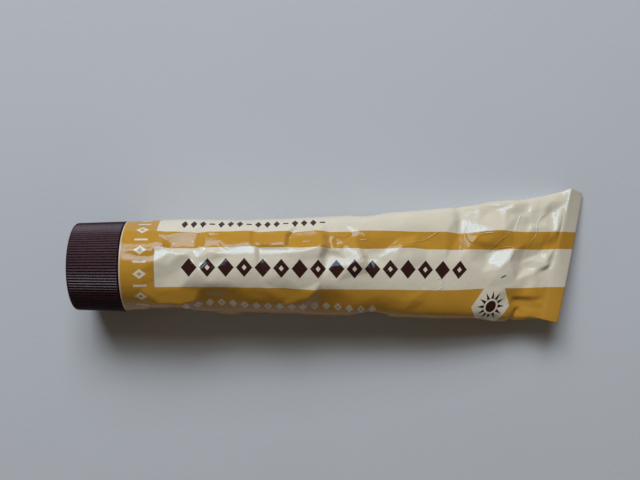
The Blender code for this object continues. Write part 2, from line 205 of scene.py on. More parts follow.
# Camera, as the photograph was taken: straight down from above
IMAGE_WIDTH_PX = 640
IMAGE_HEIGHT_PX = 480
FOCAL_PX = 870.0
SENSOR_WIDTH_MM = 36.0
CAMERA_HEIGHT = 0.305
CAMERA_ALONG = 0.0637
CAMERA_ASIDE = 0.0088
CAMERA_NEAREST = 0.01

# Window light: how far over from straight up it stands, its lean to the left, and its spread
WINDOW_OVER_DEGREES = 44.5
WINDOW_LEAN_DEGREES = -9.0
WINDOW_DISTANCE = 1.30
WINDOW_WIDTH = 0.92
WINDOW_HEIGHT = 0.80
WINDOW_RADIANCE = 3.8
WINDOW_COLOUR = (0.90, 0.96, 1.0)

# A narrower, brighter pane in the middle of the window's soft glow
PANE_WIDTH = 0.86
PANE_HEIGHT = 0.36
PANE_RADIANCE = 7.2

# Room: as it lights the tube, as the tube mirrors it, and as the camera sees it
ROOM_COLOUR = (0.098, 0.080, 0.058)
MIRRORED_ROOM_COLOUR = (0.050, 0.040, 0.032)
BACKDROP_COLOUR = (0.62, 0.64, 0.68)
TABLE_WIDTH = 2.4

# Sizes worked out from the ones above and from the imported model
LAYER_STEP = 2.0 * FOIL_WALL + FOLD_LAYER_GAP
FLAT_START = SLEEVE_LENGTH - FOLD_WIDTH * math.cos(math.radians(FOLD_DROP_DEGREES))
SLEEVE_GIRTH = 2.0 * math.pi * SLEEVE_RADIUS
SHOULDER_SLOPE = SHOULDER_DROP / (SLEEVE_RADIUS - NECK_RADIUS)
NECK_TIP = -(SHOULDER_DROP + NECK_LENGTH)
SHOULDER_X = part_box("tube_body")[0].x - NECK_TIP
AXIS_Y = (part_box("cap")[0].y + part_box("cap")[1].y) / 2.0
AXIS_Z = (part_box("cap")[0].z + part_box("cap")[1].z) / 2.0
ORIGIN = Vector((SHOULDER_X, AXIS_Y, AXIS_Z))
CAP_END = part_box("cap")[0].x - SHOULDER_X
CAP_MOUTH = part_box("cap")[1].x - SHOULDER_X
CAP_CEILING = CAP_END + CAP_TOP_WALL
LINER_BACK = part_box("cap_liner")[0].x - SHOULDER_X
LINER_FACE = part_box("cap_liner")[1].x - SHOULDER_X
LINER_RADIUS = (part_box("cap_liner")[1].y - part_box("cap_liner")[0].y) / 2.0
CREAM_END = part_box("cream")[1].x - SHOULDER_X
CAMERA_PLACE = Vector((SHOULDER_X + CAMERA_ALONG, AXIS_Y + CAMERA_ASIDE, CAMERA_HEIGHT))


# Shape of the sleeve

def smooth_share(start, end, value):
    """Rises from 0 at the start to 1 at the end, level at both."""
    share = min(max((value - start) / (end - start), 0.0), 1.0)
    return share * share * (3.0 - 2.0 * share)


def half_width(share):
    """From the round shoulder to the flat end, whose width is half the girth."""
    early = (1.0 - LATE_WIDENING_SHARE) * share ** WIDENING_POWER
    late = LATE_WIDENING_SHARE * share ** LATE_WIDENING_POWER
    return SLEEVE_RADIUS * (1.0 + (math.pi / 2.0 - 1.0) * (early + late))


def squareness(share):
    """The power that shapes the section: 1 is an oval, less is flatter on top with tighter sides."""
    flat_top = smooth_share(FLAT_TOP_START_SHARE, FLAT_TOP_END_SHARE, share)
    at_crimp = smooth_share(SQUARE_START_SHARE, 1.0, share)
    change = (FLAT_TOP_POWER - 1.0) * flat_top + (CRIMP_SQUARENESS_POWER - FLAT_TOP_POWER) * at_crimp
    return 1.0 + change


def section_curve(wide, high, power):
    """Points round a section, from its belly by -Y over the top, and the way run at each."""
    angles = np.linspace(-math.pi, math.pi, ARC_SAMPLE_COUNT + 1)
    across = wide * np.sin(angles)
    up = high * np.sign(np.cos(angles)) * np.abs(np.cos(angles)) ** power
    run = np.concatenate(([0.0], np.cumsum(np.hypot(np.diff(across), np.diff(up)))))
    return across, up, run


@functools.cache
def half_height(share):
    """The foil doesn't stretch, so the sleeve gets lower as it widens."""
    low, high = FOIL_WALL, SLEEVE_RADIUS
    for _ in range(HALVING_COUNT):
        middle = (low + high) / 2.0
        girth = section_curve(half_width(share), middle, squareness(share))[2][-1]
        low, high = (middle, high) if girth < SLEEVE_GIRTH else (low, middle)
    return low


def section_roll(share):
    """The flattened end leans to one side, so that one of its corners is higher."""
    return math.radians(CRIMP_ROLL_DEGREES) * smooth_share(ROLL_START_SHARE, ROLL_END_SHARE, share)


def section_reach(share):
    """How far down the leaning section reaches from its middle."""
    roll = section_roll(share)
    return math.hypot(half_height(share) * math.cos(roll), half_width(share) * math.sin(roll))


def section_middle(share):
    """The middle of the sleeve's section, with its belly on the table up to the lift."""
    raised = max((share - LIFT_START_SHARE) / (1.0 - LIFT_START_SHARE), 0.0) ** LIFT_POWER
    lift = (CRIMP_HEIGHT - section_reach(1.0)) * raised
    sink = BELLY_SINK * smooth_share(0.0, SINK_END_SHARE, share) * (1.0 - raised)
    height = section_reach(share) + lift - sink
    aside = CRIMP_SIDE_STEP * share ** SIDE_STEP_POWER
    return np.array((FLAT_START * share, aside, height - SLEEVE_RADIUS))


def section_turn(share):
    """The flat end isn't square to the axis, and one of its corners is higher."""
    skew = -math.radians(CRIMP_SKEW_DEGREES) * smooth_share(SKEW_START_SHARE, 1.0, share)
    roll = section_roll(share)
    about_z = np.array(((math.cos(skew), -math.sin(skew), 0), (math.sin(skew), math.cos(skew), 0), (0, 0, 1)))
    about_x = np.array(((1, 0, 0), (0, math.cos(roll), -math.sin(roll)), (0, math.sin(roll), math.cos(roll))))
    return about_z @ about_x


def section_outline(share):
    """Even steps round the section, from its belly by -Y over the top: points and outward directions."""
    wide, high = half_width(share), half_height(share)
    across, up, run = section_curve(wide, high, squareness(share))
    even = run[-1] * np.arange(AROUND_COUNT + 1) / AROUND_COUNT
    across = np.interp(even, run, across)
    up = np.interp(even, run, up)
    outward = np.stack((across / wide ** 2, up / high ** 2), axis=1)
    return across, up, outward / np.linalg.norm(outward, axis=1)[:, None]


def drifted_places(share, drift_share, power):
    """Where the columns of foil lie round the sleeve, from the drifting line that was its top."""
    turns = np.arange(AROUND_COUNT + 1) / AROUND_COUNT - 0.5
    return SLEEVE_GIRTH * (turns + drift_share * share ** power)


def dent_depth(along, arc):
    """How far the foil is pressed in at a place on it by the broad dents."""
    depth = np.zeros_like(arc)
    for along_share, arc_share, along_reach, arc_reach, depth_share in DENT_SHARES:
        far_along = (along / SLEEVE_LENGTH - along_share) / along_reach
        far_round = (arc / SLEEVE_GIRTH - arc_share) / arc_reach
        near = np.clip(1.0 - far_along ** 2 - far_round ** 2, 0.0, 1.0)
        depth = depth + SLEEVE_RADIUS * depth_share * near ** 2
    return depth


def sleeve_row(along):
    """One row of foil round the sleeve: its points and their outward directions."""
    share = along / FLAT_START
    across, up, outward = section_outline(share)
    depth = dent_depth(along, drifted_places(share, DENT_SHIFT_SHARE, DENT_SHIFT_POWER))
    flat = np.stack((np.zeros_like(across), across, up), axis=1)
    outward = np.concatenate((np.zeros((len(across), 1)), outward), axis=1)
    turn = section_turn(share)
    points = section_middle(share) + (flat - outward * depth[:, None]) @ turn.T
    points[:, 2] = np.maximum(points[:, 2], -SLEEVE_RADIUS)
    return points, outward @ turn.T


def fold_stops():
    """The rolled fold, seen from its end: how far forward and up each stop is, and the foil's turn."""
    straight_end = FOLD_WIDTH - LAYER_STEP - FOIL_WALL
    small_turn = LAYER_STEP / 2.0
    inner_end = FOLD_INNER_STEP + small_turn + FOIL_WALL
    steps = range(1, FOLD_STRAIGHT_STEP_COUNT)
    stops = [(straight_end * step / FOLD_STRAIGHT_STEP_COUNT, 0.0, 0.0) for step in steps]
    for step in range(FOLD_TURN_COUNT + 1):
        turn = math.pi * step / FOLD_TURN_COUNT
        stops.append((straight_end + LAYER_STEP * math.sin(turn), LAYER_STEP * (math.cos(turn) - 1.0), turn))
    for step in range(FOLD_TURN_COUNT + 1):
        turn = math.pi * step / FOLD_TURN_COUNT
        rise = -2.0 * LAYER_STEP + small_turn * (1.0 - math.cos(turn))
        stops.append((inner_end - small_turn * math.sin(turn), rise, math.pi + turn))
    stops.append((straight_end - FOLD_LAYER_GAP, -LAYER_STEP, 2.0 * math.pi))
    return stops


def fold_rows():
    """The flattened foil, two walls thick, carried along the rolled fold, and the way travelled."""
    across, up, _ = section_outline(1.0)
    middle, turn = section_middle(1.0), section_turn(1.0)
    drop = np.radians(FOLD_DROP_DEGREES + FOLD_DROP_CHANGE_DEGREES * across / half_width(1.0))
    rows, ways = [], []
    way, last = 0.0, (0.0, 0.0)
    for forward, rise, bend in fold_stops():
        ahead = forward + up * math.sin(bend)
        above = rise + up * math.cos(bend)
        dropped_ahead = ahead * np.cos(drop) + above * np.sin(drop)
        dropped_above = above * np.cos(drop) - ahead * np.sin(drop)
        rows.append(middle + np.stack((dropped_ahead, across, dropped_above), axis=1) @ turn.T)
        way += math.hypot(forward - last[0], rise - last[1])
        last = (forward, rise)
        ways.append(FLAT_START + way)
    rows.append(pressed_shut(rows[-1]))
    ways.append(ways[-1] + FOIL_WALL)
    return rows, ways


def pressed_shut(row):
    """A row whose upper and lower halves meet midway between them."""
    half = AROUND_COUNT // 2
    columns = np.arange(AROUND_COUNT + 1)
    partners = np.where(columns <= half, half - columns, 3 * half - columns)
    return (row + row[partners]) / 2.0


def print_drift(way):
    """How far the print has moved round the sleeve from its columns, so that its lines run straight."""
    share = way / FLAT_START
    drift = PRINT_DRIFT_SHARE * smooth_share(PRINT_DRIFT_START_SHARE, PRINT_DRIFT_END_SHARE, share)
    drift += PRINT_LATE_DRIFT_SHARE * smooth_share(PRINT_DRIFT_END_SHARE, 1.0, share)
    on_fold = max(way - FLAT_START, 0.0)
    return drift - on_fold * math.tan(math.radians(CRIMP_SKEW_DEGREES)) / SLEEVE_GIRTH


def in_picture(points):
    """Where points of the tube fall in the photograph, in its pixels."""
    seen = points + np.array(ORIGIN) - np.array(CAMERA_PLACE)
    scale = FOCAL_PX / -seen[..., 2]
    return IMAGE_WIDTH_PX / 2 + seen[..., 0] * scale, IMAGE_HEIGHT_PX / 2 - seen[..., 1] * scale


# Creases of the squeezed foil

# Flat patches: where in the window each is aimed, how deep its middle lies, and its corners in pixels
FLAT_PATCHES = (
    ((0.3, 0.0), 0.00010, ((122, 243), (135, 243.4), (148, 243), (153, 240.8), (160, 240.6), (162, 243.5),
        (161.5, 247), (150, 247.2), (133, 247.4), (124, 248.5))),
    ((-1.6, 0.0), 0.00010, ((127, 249.2), (152.5, 249), (152.5, 252.9), (130, 253))),
    ((1.4, 0.0), 0.0, ((124, 232), (157, 232), (157, 239), (124, 240))),
    ((-0.4, 0.0), 0.00015, ((121.5, 250), (125, 254), (128, 261), (122.5, 257))),
    ((0.0, 0.0), 0.00020, ((139.5, 255.7), (147, 256), (153, 254), (153, 262), (146, 262), (140, 259))),
    ((0.2, 0.0), 0.00020, ((161, 234.8), (163, 233.6), (165.8, 234), (166, 236.5), (163.5, 238),
        (161.3, 237))),
    ((0.35, 0.3), 0.00055, ((166.5, 247), (170.5, 243), (178, 239.2), (183, 235.7), (188, 231.5),
        (193, 230.2), (195.4, 232), (195.4, 247))),
    ((1.7, 0.0), 0.00030, ((196.4, 233), (202, 236.5), (203.4, 241), (203.2, 247), (196.4, 247))),
    ((0.2, 0.3), 0.00040, ((209, 231.3), (212.5, 231.6), (214, 234), (211, 235.6), (207.8, 233.5))),
    ((0.25, 0.2), 0.00045, ((204.3, 240), (208, 239.2), (216, 238.4), (218.5, 240), (219.3, 243),
        (213, 245), (208, 247.3), (204.3, 247.3))),
    ((0.1, 0.0), 0.00035, ((154, 249), (172, 248.8), (170, 252), (163, 256), (156, 255))),
    ((0.0, 0.0), 0.00060, ((192, 249), (195.6, 249), (195.4, 256))),
    ((-4.2, 0.6), 0.00060, ((178, 255), (186, 253.5), (191, 256.5), (180, 267), (170, 277), (162, 277),
        (166, 265))),
    ((-3.0, -0.4), 0.00060, ((198, 256), (212, 250.5), (216, 253.5), (208, 260), (199, 263))),
    ((-5.4, 0.3), -0.00035, ((157, 291), (178, 290), (198, 291.5), (195, 299), (180, 302), (160, 301))),
    ((-5.6, 0.0), -0.00030, ((284, 291.5), (300, 290.5), (314, 291), (309, 297), (300, 299), (286, 298))),
    ((1.5, 0.0), 0.0, ((226, 233), (250, 233.5), (250, 242.5), (243, 243), (236, 245.8), (227, 245.5))),
    ((1.5, 0.0), 0.0, ((252, 233.5), (286, 235), (286, 245), (268, 245), (253, 243))),
    ((1.5, 0.0), 0.0, ((288, 235), (322, 235.3), (323, 246.5), (300, 246.5), (288, 245.3))),
    ((-0.1, 0.0), 0.00010, ((222, 247.6), (232, 247.4), (243, 244.8), (252, 244.5), (256, 247),
        (256, 253), (240, 254), (229, 253))),
    ((-0.1, 0.0), 0.00010, ((258, 247), (275, 247.8), (295, 249), (303, 251.4), (296, 253.8),
        (280, 253.4), (258, 253))),
    ((-2.8, 0.9), 0.00050, ((516, 300), (534, 301), (545, 305), (538, 309), (519, 307))),
    ((0.2, 0.0), 0.00015, ((327.8, 236.6), (330, 235), (333, 237), (334, 248), (335, 250.5), (329.7, 249),
        (328.5, 241))),
    ((0.7, -0.1), 0.00015, ((335.5, 242.7), (341, 242), (342, 244.6), (336.3, 246.3))),
    ((0.05, 0.1), 0.00010, ((352, 231.5), (354, 229.5), (357.5, 229.5), (360, 232.2), (356.5, 235.5),
        (352.7, 236))),
    ((-0.5, 0.0), 0.00020, ((326, 255), (332, 254), (345, 256.8), (360, 257.5), (363, 262), (350, 267),
        (332, 267), (326, 262))),
    ((-0.3, 0.3), 0.00010, ((368, 254), (385, 249.6), (402, 246.9), (411, 246.3), (400, 250.4),
        (388, 254), (378, 259.5), (367, 260))),
    ((0.0, 0.66), 0.0, ((459.8, 218), (461.5, 216.8), (470, 220.8), (480, 224.8), (490, 228.2),
        (504, 231.3), (495, 231.7), (480, 232.6), (466, 232.8), (459.5, 231))),
    ((0.75, 0.4), 0.00015, ((467.3, 235), (479, 235.5), (473, 241.5))),
    ((-0.1, 0.5), 0.00030, ((488.3, 251), (495, 249.2), (503, 248.2), (512.6, 247.2), (513.4, 250),
        (511.5, 256), (508.5, 260), (502.5, 264.5), (499.8, 267.8), (494.5, 265.6), (490, 263.6),
        (487, 260), (487.4, 254))),
    ((0.3, 0.5), 0.00010, ((495, 207.7), (500, 208.6), (508, 206.2), (514, 204.8), (514, 208.2),
        (506, 209.8), (500, 211))),
    ((0.4, 0.6), 0.00010, ((526.5, 209), (533, 207.6), (532.5, 211.2), (527, 211.6))),
    ((0.4, 0.6), 0.00010, ((528, 224.2), (532.8, 223.6), (532.6, 228.3), (528, 228.6))),
    ((0.1, 0.6), -0.00010, ((551, 211.5), (556, 209.6), (562, 205), (565, 203), (563.3, 207),
        (560, 212.8), (561, 220), (558.6, 228.6), (555, 231.2), (551.6, 231), (551, 222))),
    ((-0.2, 0.6), -0.00015, ((539, 253.8), (545, 253.4), (549, 255.5), (545, 258), (539.6, 257.8))),
    ((-1.5, 0.9), 0.00025, ((521, 261), (535, 260.5), (545, 262.2), (546.5, 266), (539, 269),
        (524, 269))),
)

# Broad ridges and valleys: how high each stands, and its points in the photograph's pixels
FOIL_RIDGES = (
    (0.00020, ((540, 200), (552, 201.5), (563, 201.5))),
    (-0.00030, ((558, 253.5), (555.5, 259), (552, 264), (547, 268), (541, 271.5), (535, 271.5))),
    (0.00012, ((446, 262), (456, 262.5), (470, 262))),
    (-0.00020, ((204, 301), (212, 297), (224, 293.5), (240, 292.5), (262, 294), (276, 298))),
    (0.00040, ((281, 306), (288, 305), (296, 307))),
    (0.00030, ((398, 301), (412, 299.5), (427, 301))),
    (-0.00030, ((404, 311), (416, 309), (430, 310))),
    (0.00040, ((512, 296), (535, 296.5), (552, 297))),
    (0.00030, ((530, 314), (543, 314), (552, 315.5))),
    (-0.00008, ((455, 219), (450, 225), (447, 231))),
)

# Fine sharp lines in the lacquered foil: how high each stands, its half width, and its points in pixels
FINE_LINES = (
    (0.00013, 0.00050, ((438.5, 232.3), (433, 235.6), (428, 238.6), (421.5, 241.4), (412, 243.7),
        (402, 244.7), (392, 246))),
    (0.00012, 0.00050, ((330, 235), (340, 237), (346, 236.5), (351, 233.5))),
    (0.00012, 0.00050, ((334.5, 248.5), (341, 246.3), (349, 242), (351.3, 238.5))),
    (0.00010, 0.00050, ((361.5, 239.4), (366, 239.5))),
    (0.00010, 0.00050, ((365.5, 243), (370, 246.5))),
    (0.00013, 0.00050, ((466, 233.8), (467, 237.5), (469.5, 241), (472.5, 242.8), (476, 239),
        (480, 235.5), (483, 234.3), (492, 233.9))),
    (0.00013, 0.00050, ((490, 250.5), (494, 246.5), (498, 243), (502.5, 239.5), (506, 237),
        (508.5, 233.5), (511.5, 238.5))),
    (0.00012, 0.00050, ((495, 249), (503, 247.4), (513.3, 246.4), (513.9, 251), (511.2, 257),
        (508.9, 260.5))),
    (0.00014, 0.00050, ((520, 216.5), (518.5, 222), (517, 226), (515.5, 231))),
    (0.00013, 0.00050, ((544.5, 215), (541, 217), (538.5, 221), (537, 227), (537.3, 233.5), (534, 238.5),
        (531, 242), (528, 247))),
    (0.00010, 0.00045, ((200.5, 232), (199.5, 235), (203, 236.5), (210, 238.2), (215, 237.5))),
    (0.00010, 0.00050, ((219.5, 243), (222, 246), (228, 249))),
    (0.00010, 0.00050, ((437.5, 279), (441, 278), (443.3, 281), (441, 284), (443, 287.5), (439, 289.5))),
    (0.00010, 0.00045, ((162.3, 243), (163, 247.5))),
    (0.00012, 0.00050, ((259, 241.5), (265, 244.5), (272, 242.7), (282, 242.5), (291, 245.5))),
    (0.00012, 0.00060, ((303.5, 240.5), (308.5, 240.5))),
)

# Small creases all over, where the photograph shows nothing stronger
SMALL_CREASE_STEP = 0.0062
SMALL_CREASE_HEIGHT = 0.00007
SMALL_CREASE_SHIFT_SHARE = 0.38
CREASE_CLEARANCE = 0.0021
CREASE_REACH_MOST = 0.0016
CREASE_ROOM_SHARE = 0.35
CREASE_FADE_START = 0.1425
CREASE_FADE_END = 0.1445
SHOULDER_FADE = 0.0012
SOFTENING_ROUNDS = 1
FLATNESS_POWER = 3.0
CREASE_SEED = 7
SHOWN_LEAST = 0.02
FACING_LEAST = 0.3
EDGE_TOLERANCE = 1e-6


def sleeve_lattice():
    """The foil's points and outward directions, row by row from shoulder to flat end."""
    stations = FLAT_START * np.arange(ALONG_COUNT + 1) / ALONG_COUNT
    rows = [sleeve_row(along) for along in stations]
    return stations, np.array([row[0] for row in rows]), np.array([row[1] for row in rows])


def under_pixels(points, outward, places):
    """For each pixel, the row and column of the foil that the photograph shows there."""
    pictured = in_picture(points)
    shown = outward[..., 2] > SHOWN_LEAST
    spots = []
    for place in places:
        far = (pictured[0] - place[0]) ** 2 + (pictured[1] - place[1]) ** 2
        spots.append(np.unravel_index(np.argmin(np.where(shown, far, np.inf)), far.shape))
    return spots


def foil_places(points, outward, places):
    """For each pixel, how far along and round the foil it lies, between the foil's rows and columns."""
    pictured = in_picture(points)
    found = []
    for place, (row, column) in zip(places, under_pixels(points, outward, places)):
        row, column = min(max(row, 1), ALONG_COUNT - 1), min(max(column, 1), AROUND_COUNT - 1)
        slopes = [[(axis[row + 1, column] - axis[row - 1, column]) / 2.0,
                   (axis[row, column + 1] - axis[row, column - 1]) / 2.0] for axis in pictured]
        missed = (place[0] - pictured[0][row, column], place[1] - pictured[1][row, column])
        ahead, aside = np.clip(np.linalg.solve(slopes, missed), -1.0, 1.0)
        along = FLAT_START * (row + ahead) / ALONG_COUNT
        found.append((along, SLEEVE_GIRTH * ((column + aside) / AROUND_COUNT - 0.5 + print_drift(along))))
    return found


def towards_window(aim=(0.0, 0.0)):
    """The direction of a place up and sideways in the window, in half windows: past 1 is the dark room."""
    over = WINDOW_OVER_DEGREES + aim[0] * math.degrees(math.atan(WINDOW_HEIGHT / 2.0 / WINDOW_DISTANCE))
    lean = WINDOW_LEAN_DEGREES + aim[1] * math.degrees(math.atan(WINDOW_WIDTH / 2.0 / WINDOW_DISTANCE))
    over, lean = math.radians(over), math.radians(lean)
    return np.array((math.sin(lean), math.cos(lean) * math.sin(over), math.cos(lean) * math.cos(over)))


def mirror_direction(point, aim):
    """The direction that a surface faces when it mirrors a place of the window to the camera."""
    view = np.array(CAMERA_PLACE) - np.array(ORIGIN) - point
    both = towards_window(aim) + view / np.linalg.norm(view)
    return both / np.linalg.norm(both)


def patch_heights(points, outward, aim, depth):
    """How far each corner moves out so that the patch is flat and faces the way it is aimed."""
    middle = points.mean(axis=0)
    facing = mirror_direction(middle, aim)
    middle = middle - outward.mean(axis=0) * depth
    heights = ((middle - points) @ facing) / np.maximum(outward @ facing, FACING_LEAST)
    return np.clip(heights, -CREASE_REACH_MOST, CREASE_REACH_MOST)


def near_any(place, lines):
    """True if a place on the flat foil lies close to one of these lines."""
    for start, end in lines:
        run = end - start
        share = np.clip(((place - start) @ run) / max(run @ run, MERGE_DISTANCE ** 2), 0.0, 1.0)
        if np.linalg.norm(place - start - share * run) < CREASE_CLEARANCE:
            return True
    return False


def inside_outline(place, corners):
    """True if a place on the flat foil lies inside a ring of corners."""
    inside = False
    for (x1, y1), (x2, y2) in zip(corners, np.roll(corners, -1, axis=0)):
        if (y1 > place[1]) != (y2 > place[1]) and place[0] < x1 + (place[1] - y1) / (y2 - y1) * (x2 - x1):
            inside = not inside
    return inside


class CreaseNet:
    """The foil's creases: places on the flat foil, how high and how flat each is, and lines between."""

    def __init__(self):
        self.places, self.heights, self.flatness, self.lines, self.outlines = [], [], [], [], []

    def pin(self, places, heights, flatness=0.0, joined=0):
        """Adds places, and lines that join this many of them each to the next, round to the first."""
        first = len(self.places)
        self.places += places
        self.heights += heights
        self.flatness += [flatness] * len(places)
        self.lines += [(first + step, first + (step + 1) % len(places)) for step in range(joined)]


def averages(values, origins):
    """The mean value of the places that each of the net's final points comes from."""
    return np.array([np.mean([values[index] for index in origin]) if origin else 0.0 for origin in origins])


def columns_round():
    """How far round the sleeve each column of its foil lies from its top line."""
    return SLEEVE_GIRTH * (np.arange(AROUND_COUNT + 1) / AROUND_COUNT - 0.5)


def crease_net(stations, points, outward):
    """The net of all creases: the photograph's first, then small ones, then the foil's borders."""
    net = CreaseNet()
    columns = columns_round()
    for aim, depth, corners in FLAT_PATCHES:
        spots = under_pixels(points, outward, corners)
        here, facing = [np.array([values[spot] for spot in spots]) for values in (points, outward)]
        outline = [(stations[row], columns[column]) for row, column in spots]
        net.pin(outline, list(patch_heights(here, facing, aim, depth)), 1.0, len(spots))
        net.outlines.append(np.array(outline))
    for height, corners in FOIL_RIDGES:
        spots = under_pixels(points, outward, corners)
        heights = [0.0] + [height] * (len(spots) - 2) + [0.0]
        net.pin([(stations[row], columns[column]) for row, column in spots], heights, 0.0, len(spots) - 1)
    wide, tall = int(FLAT_START / SMALL_CREASE_STEP), int(SLEEVE_GIRTH / SMALL_CREASE_STEP)
    add_small_creases(net, wide, tall)
    borders = [(FLAT_START * step / wide, side)
               for step in range(wide + 1) for side in (-SLEEVE_GIRTH / 2.0, SLEEVE_GIRTH / 2.0)]
    borders += [(along, SLEEVE_GIRTH * (step / tall - 0.5))
                for step in range(1, tall) for along in (0.0, FLAT_START)]
    net.pin(borders, [0.0] * len(borders))
    return net


def add_small_creases(net, wide, tall):
    """Small creases in uneven rows and columns, where nothing is drawn yet."""
    drawn = [(np.array(net.places[start]), np.array(net.places[end])) for start, end in net.lines]
    chance = np.random.default_rng(CREASE_SEED)
    for row in range(1, wide):
        for column in range(1, tall):
            shift = chance.uniform(-SMALL_CREASE_SHIFT_SHARE, SMALL_CREASE_SHIFT_SHARE, 2)
            height = chance.uniform(-SMALL_CREASE_HEIGHT, SMALL_CREASE_HEIGHT)
            along = (row + shift[0]) * FLAT_START / wide
            arc = (column + shift[1]) * SLEEVE_GIRTH / tall - SLEEVE_GIRTH / 2.0
            place = np.array((along, arc))
            free = not near_any(place, drawn)
            if free and not any(inside_outline(place, outline) for outline in net.outlines):
                net.pin([(along, arc)], [height])


def triangle_shares(ring, along, arc):
    """How much each corner of a triangle counts at places on the flat foil, or None if it is too thin."""
    (ax, ay), (bx, by), (cx, cy) = ring
    area = (bx - ax) * (cy - ay) - (cx - ax) * (by - ay)
    if abs(area) < MERGE_DISTANCE ** 2:
        return None
    second = ((along - ax) * (cy - ay) - (cx - ax) * (arc - ay)) / area
    third = ((bx - ax) * (arc - ay) - (along - ax) * (by - ay)) / area
    return np.stack((1.0 - second - third, second, third), axis=-1)


def creased_foil(stations, points, outward):
    """The foil's points after creasing: between the net's points it is flat or evenly bent."""
    net = crease_net(stations, points, outward)
    found = delaunay_2d_cdt([Vector(place) for place in net.places], net.lines, [], 0, MERGE_DISTANCE)
    corners, _, triangles, origins = found[:4]
    spots = np.array(corners)
    net_rows = np.clip(np.rint(spots[:, 0] / FLAT_START * ALONG_COUNT).astype(int), 0, ALONG_COUNT)
    net_columns = np.rint((spots[:, 1] / SLEEVE_GIRTH + 0.5) * AROUND_COUNT).astype(int)
    net_columns = np.clip(net_columns, 0, AROUND_COUNT)
    net_height, net_flat = averages(net.heights, origins), averages(net.flatness, origins)
    net_points = points[net_rows, net_columns] + outward[net_rows, net_columns] * net_height[:, None]
    columns = columns_round()
    height, flat, chord = np.zeros(points.shape[:2]), np.zeros(points.shape[:2]), points.copy()
    least, steps = (0.0, columns[0]), (FLAT_START / ALONG_COUNT, SLEEVE_GIRTH / AROUND_COUNT)
    for triangle in triangles:
        index = list(triangle)
        ring = spots[index]
        low = np.floor((ring.min(axis=0) - least) / steps).astype(int)
        high = np.ceil((ring.max(axis=0) - least) / steps).astype(int)
        rows = slice(max(low[0], 0), min(high[0], ALONG_COUNT) + 1)
        cols = slice(max(low[1], 0), min(high[1], AROUND_COUNT) + 1)
        along, arc = np.meshgrid(stations[rows], columns[cols], indexing="ij")
        shares = triangle_shares(ring, along, arc)
        if shares is None:
            continue
        inside = (shares >= -EDGE_TOLERANCE).all(axis=-1)
        height[rows, cols] = np.where(inside, shares @ net_height[index], height[rows, cols])
        flat[rows, cols] = np.where(inside, (shares @ net_flat[index]) ** FLATNESS_POWER, flat[rows, cols])
        chord[rows, cols] = np.where(inside[..., None], shares @ net_points[index], chord[rows, cols])
    bent = points + outward * height[..., None]
    moved = bent + flat[..., None] * (chord - bent) - points
    fade = np.array([crease_fade(along) for along in stations])
    moved = soften(moved) * fade[:, None, None]
    inward = -(moved * outward).sum(axis=-1)
    room = np.array([CREASE_ROOM_SHARE * half_height(along / FLAT_START) for along in stations])
    moved = moved * np.minimum(1.0, room[:, None] / np.maximum(inward, MERGE_DISTANCE))[..., None]
    creased = points + moved
    creased[..., 2] = np.maximum(creased[..., 2], -SLEEVE_RADIUS)
    return creased


def crease_fade(along):
    """Creases end before the stiff shoulder and before the fold."""
    at_shoulder = smooth_share(0.0, SHOULDER_FADE, along)
    return at_shoulder * (1.0 - smooth_share(CREASE_FADE_START, CREASE_FADE_END, along))


def soften(moved):
    """Rounds the creases a little, as metal does, by evening out each point with its neighbours."""
    for _ in range(SOFTENING_ROUNDS):
        padded = np.concatenate((moved[:1], moved, moved[-1:]), axis=0)
        moved = (padded[:-2] + 2.0 * padded[1:-1] + padded[2:]) / 4.0
        padded = np.concatenate((moved[:, -2:-1], moved, moved[:, 1:2]), axis=1)
        moved = (padded[:, :-2] + 2.0 * padded[:, 1:-1] + padded[:, 2:]) / 4.0
    return moved


# Making pieces

SLEEVE_INSET = 0.0009
SLEEVE_END_INSET = 0.00015
SLEEVE_THINNING_START = 0.120
SLEEVE_THINNING_END = 0.138
CAVITY_TIP = 0.001
EDGE_TURN_COUNT = 4
EDGE_TURN_RADIUS = 0.0004
PRINT_SPAN = 0.330
PRINT_OFFSET = 0.160
SHARP_ANGLE_DEGREES = 32.0
TURN_COUNT = 160
THREAD_STEP_COUNT = 40
CREAM_INSET = 0.0013
CREAM_NECK_GAP = 0.0001
CREAM_CORNER = (0.0004, 0.0006)
CREAM_FULL_START = 0.0025
CREAM_FACE = -0.0126
CREAM_DOME = 0.0009
CREAM_STATION_STEP = 3
CREAM_ROOM_LEAST = 0.0016


def leave_only(piece):
    """Leaves this piece selected and active, and nothing else."""
    bpy.ops.object.select_all(action="DESELECT")
    piece.select_set(True)
    bpy.context.view_layer.objects.active = piece


def close_and_smooth(piece):
    """Joins touching points, turns every face outwards and smooths all but the sharp edges."""
    leave_only(piece)
    bpy.ops.object.mode_set(mode="EDIT")
    bpy.ops.mesh.select_all(action="SELECT")
    bpy.ops.mesh.remove_doubles(threshold=MERGE_DISTANCE)
    bpy.ops.mesh.normals_make_consistent(inside=False)
    bpy.ops.object.mode_set(mode="OBJECT")
    bpy.ops.object.transform_apply(location=True, rotation=True, scale=True)
    bpy.ops.object.shade_smooth_by_angle(angle=math.radians(SHARP_ANGLE_DEGREES))
    return piece


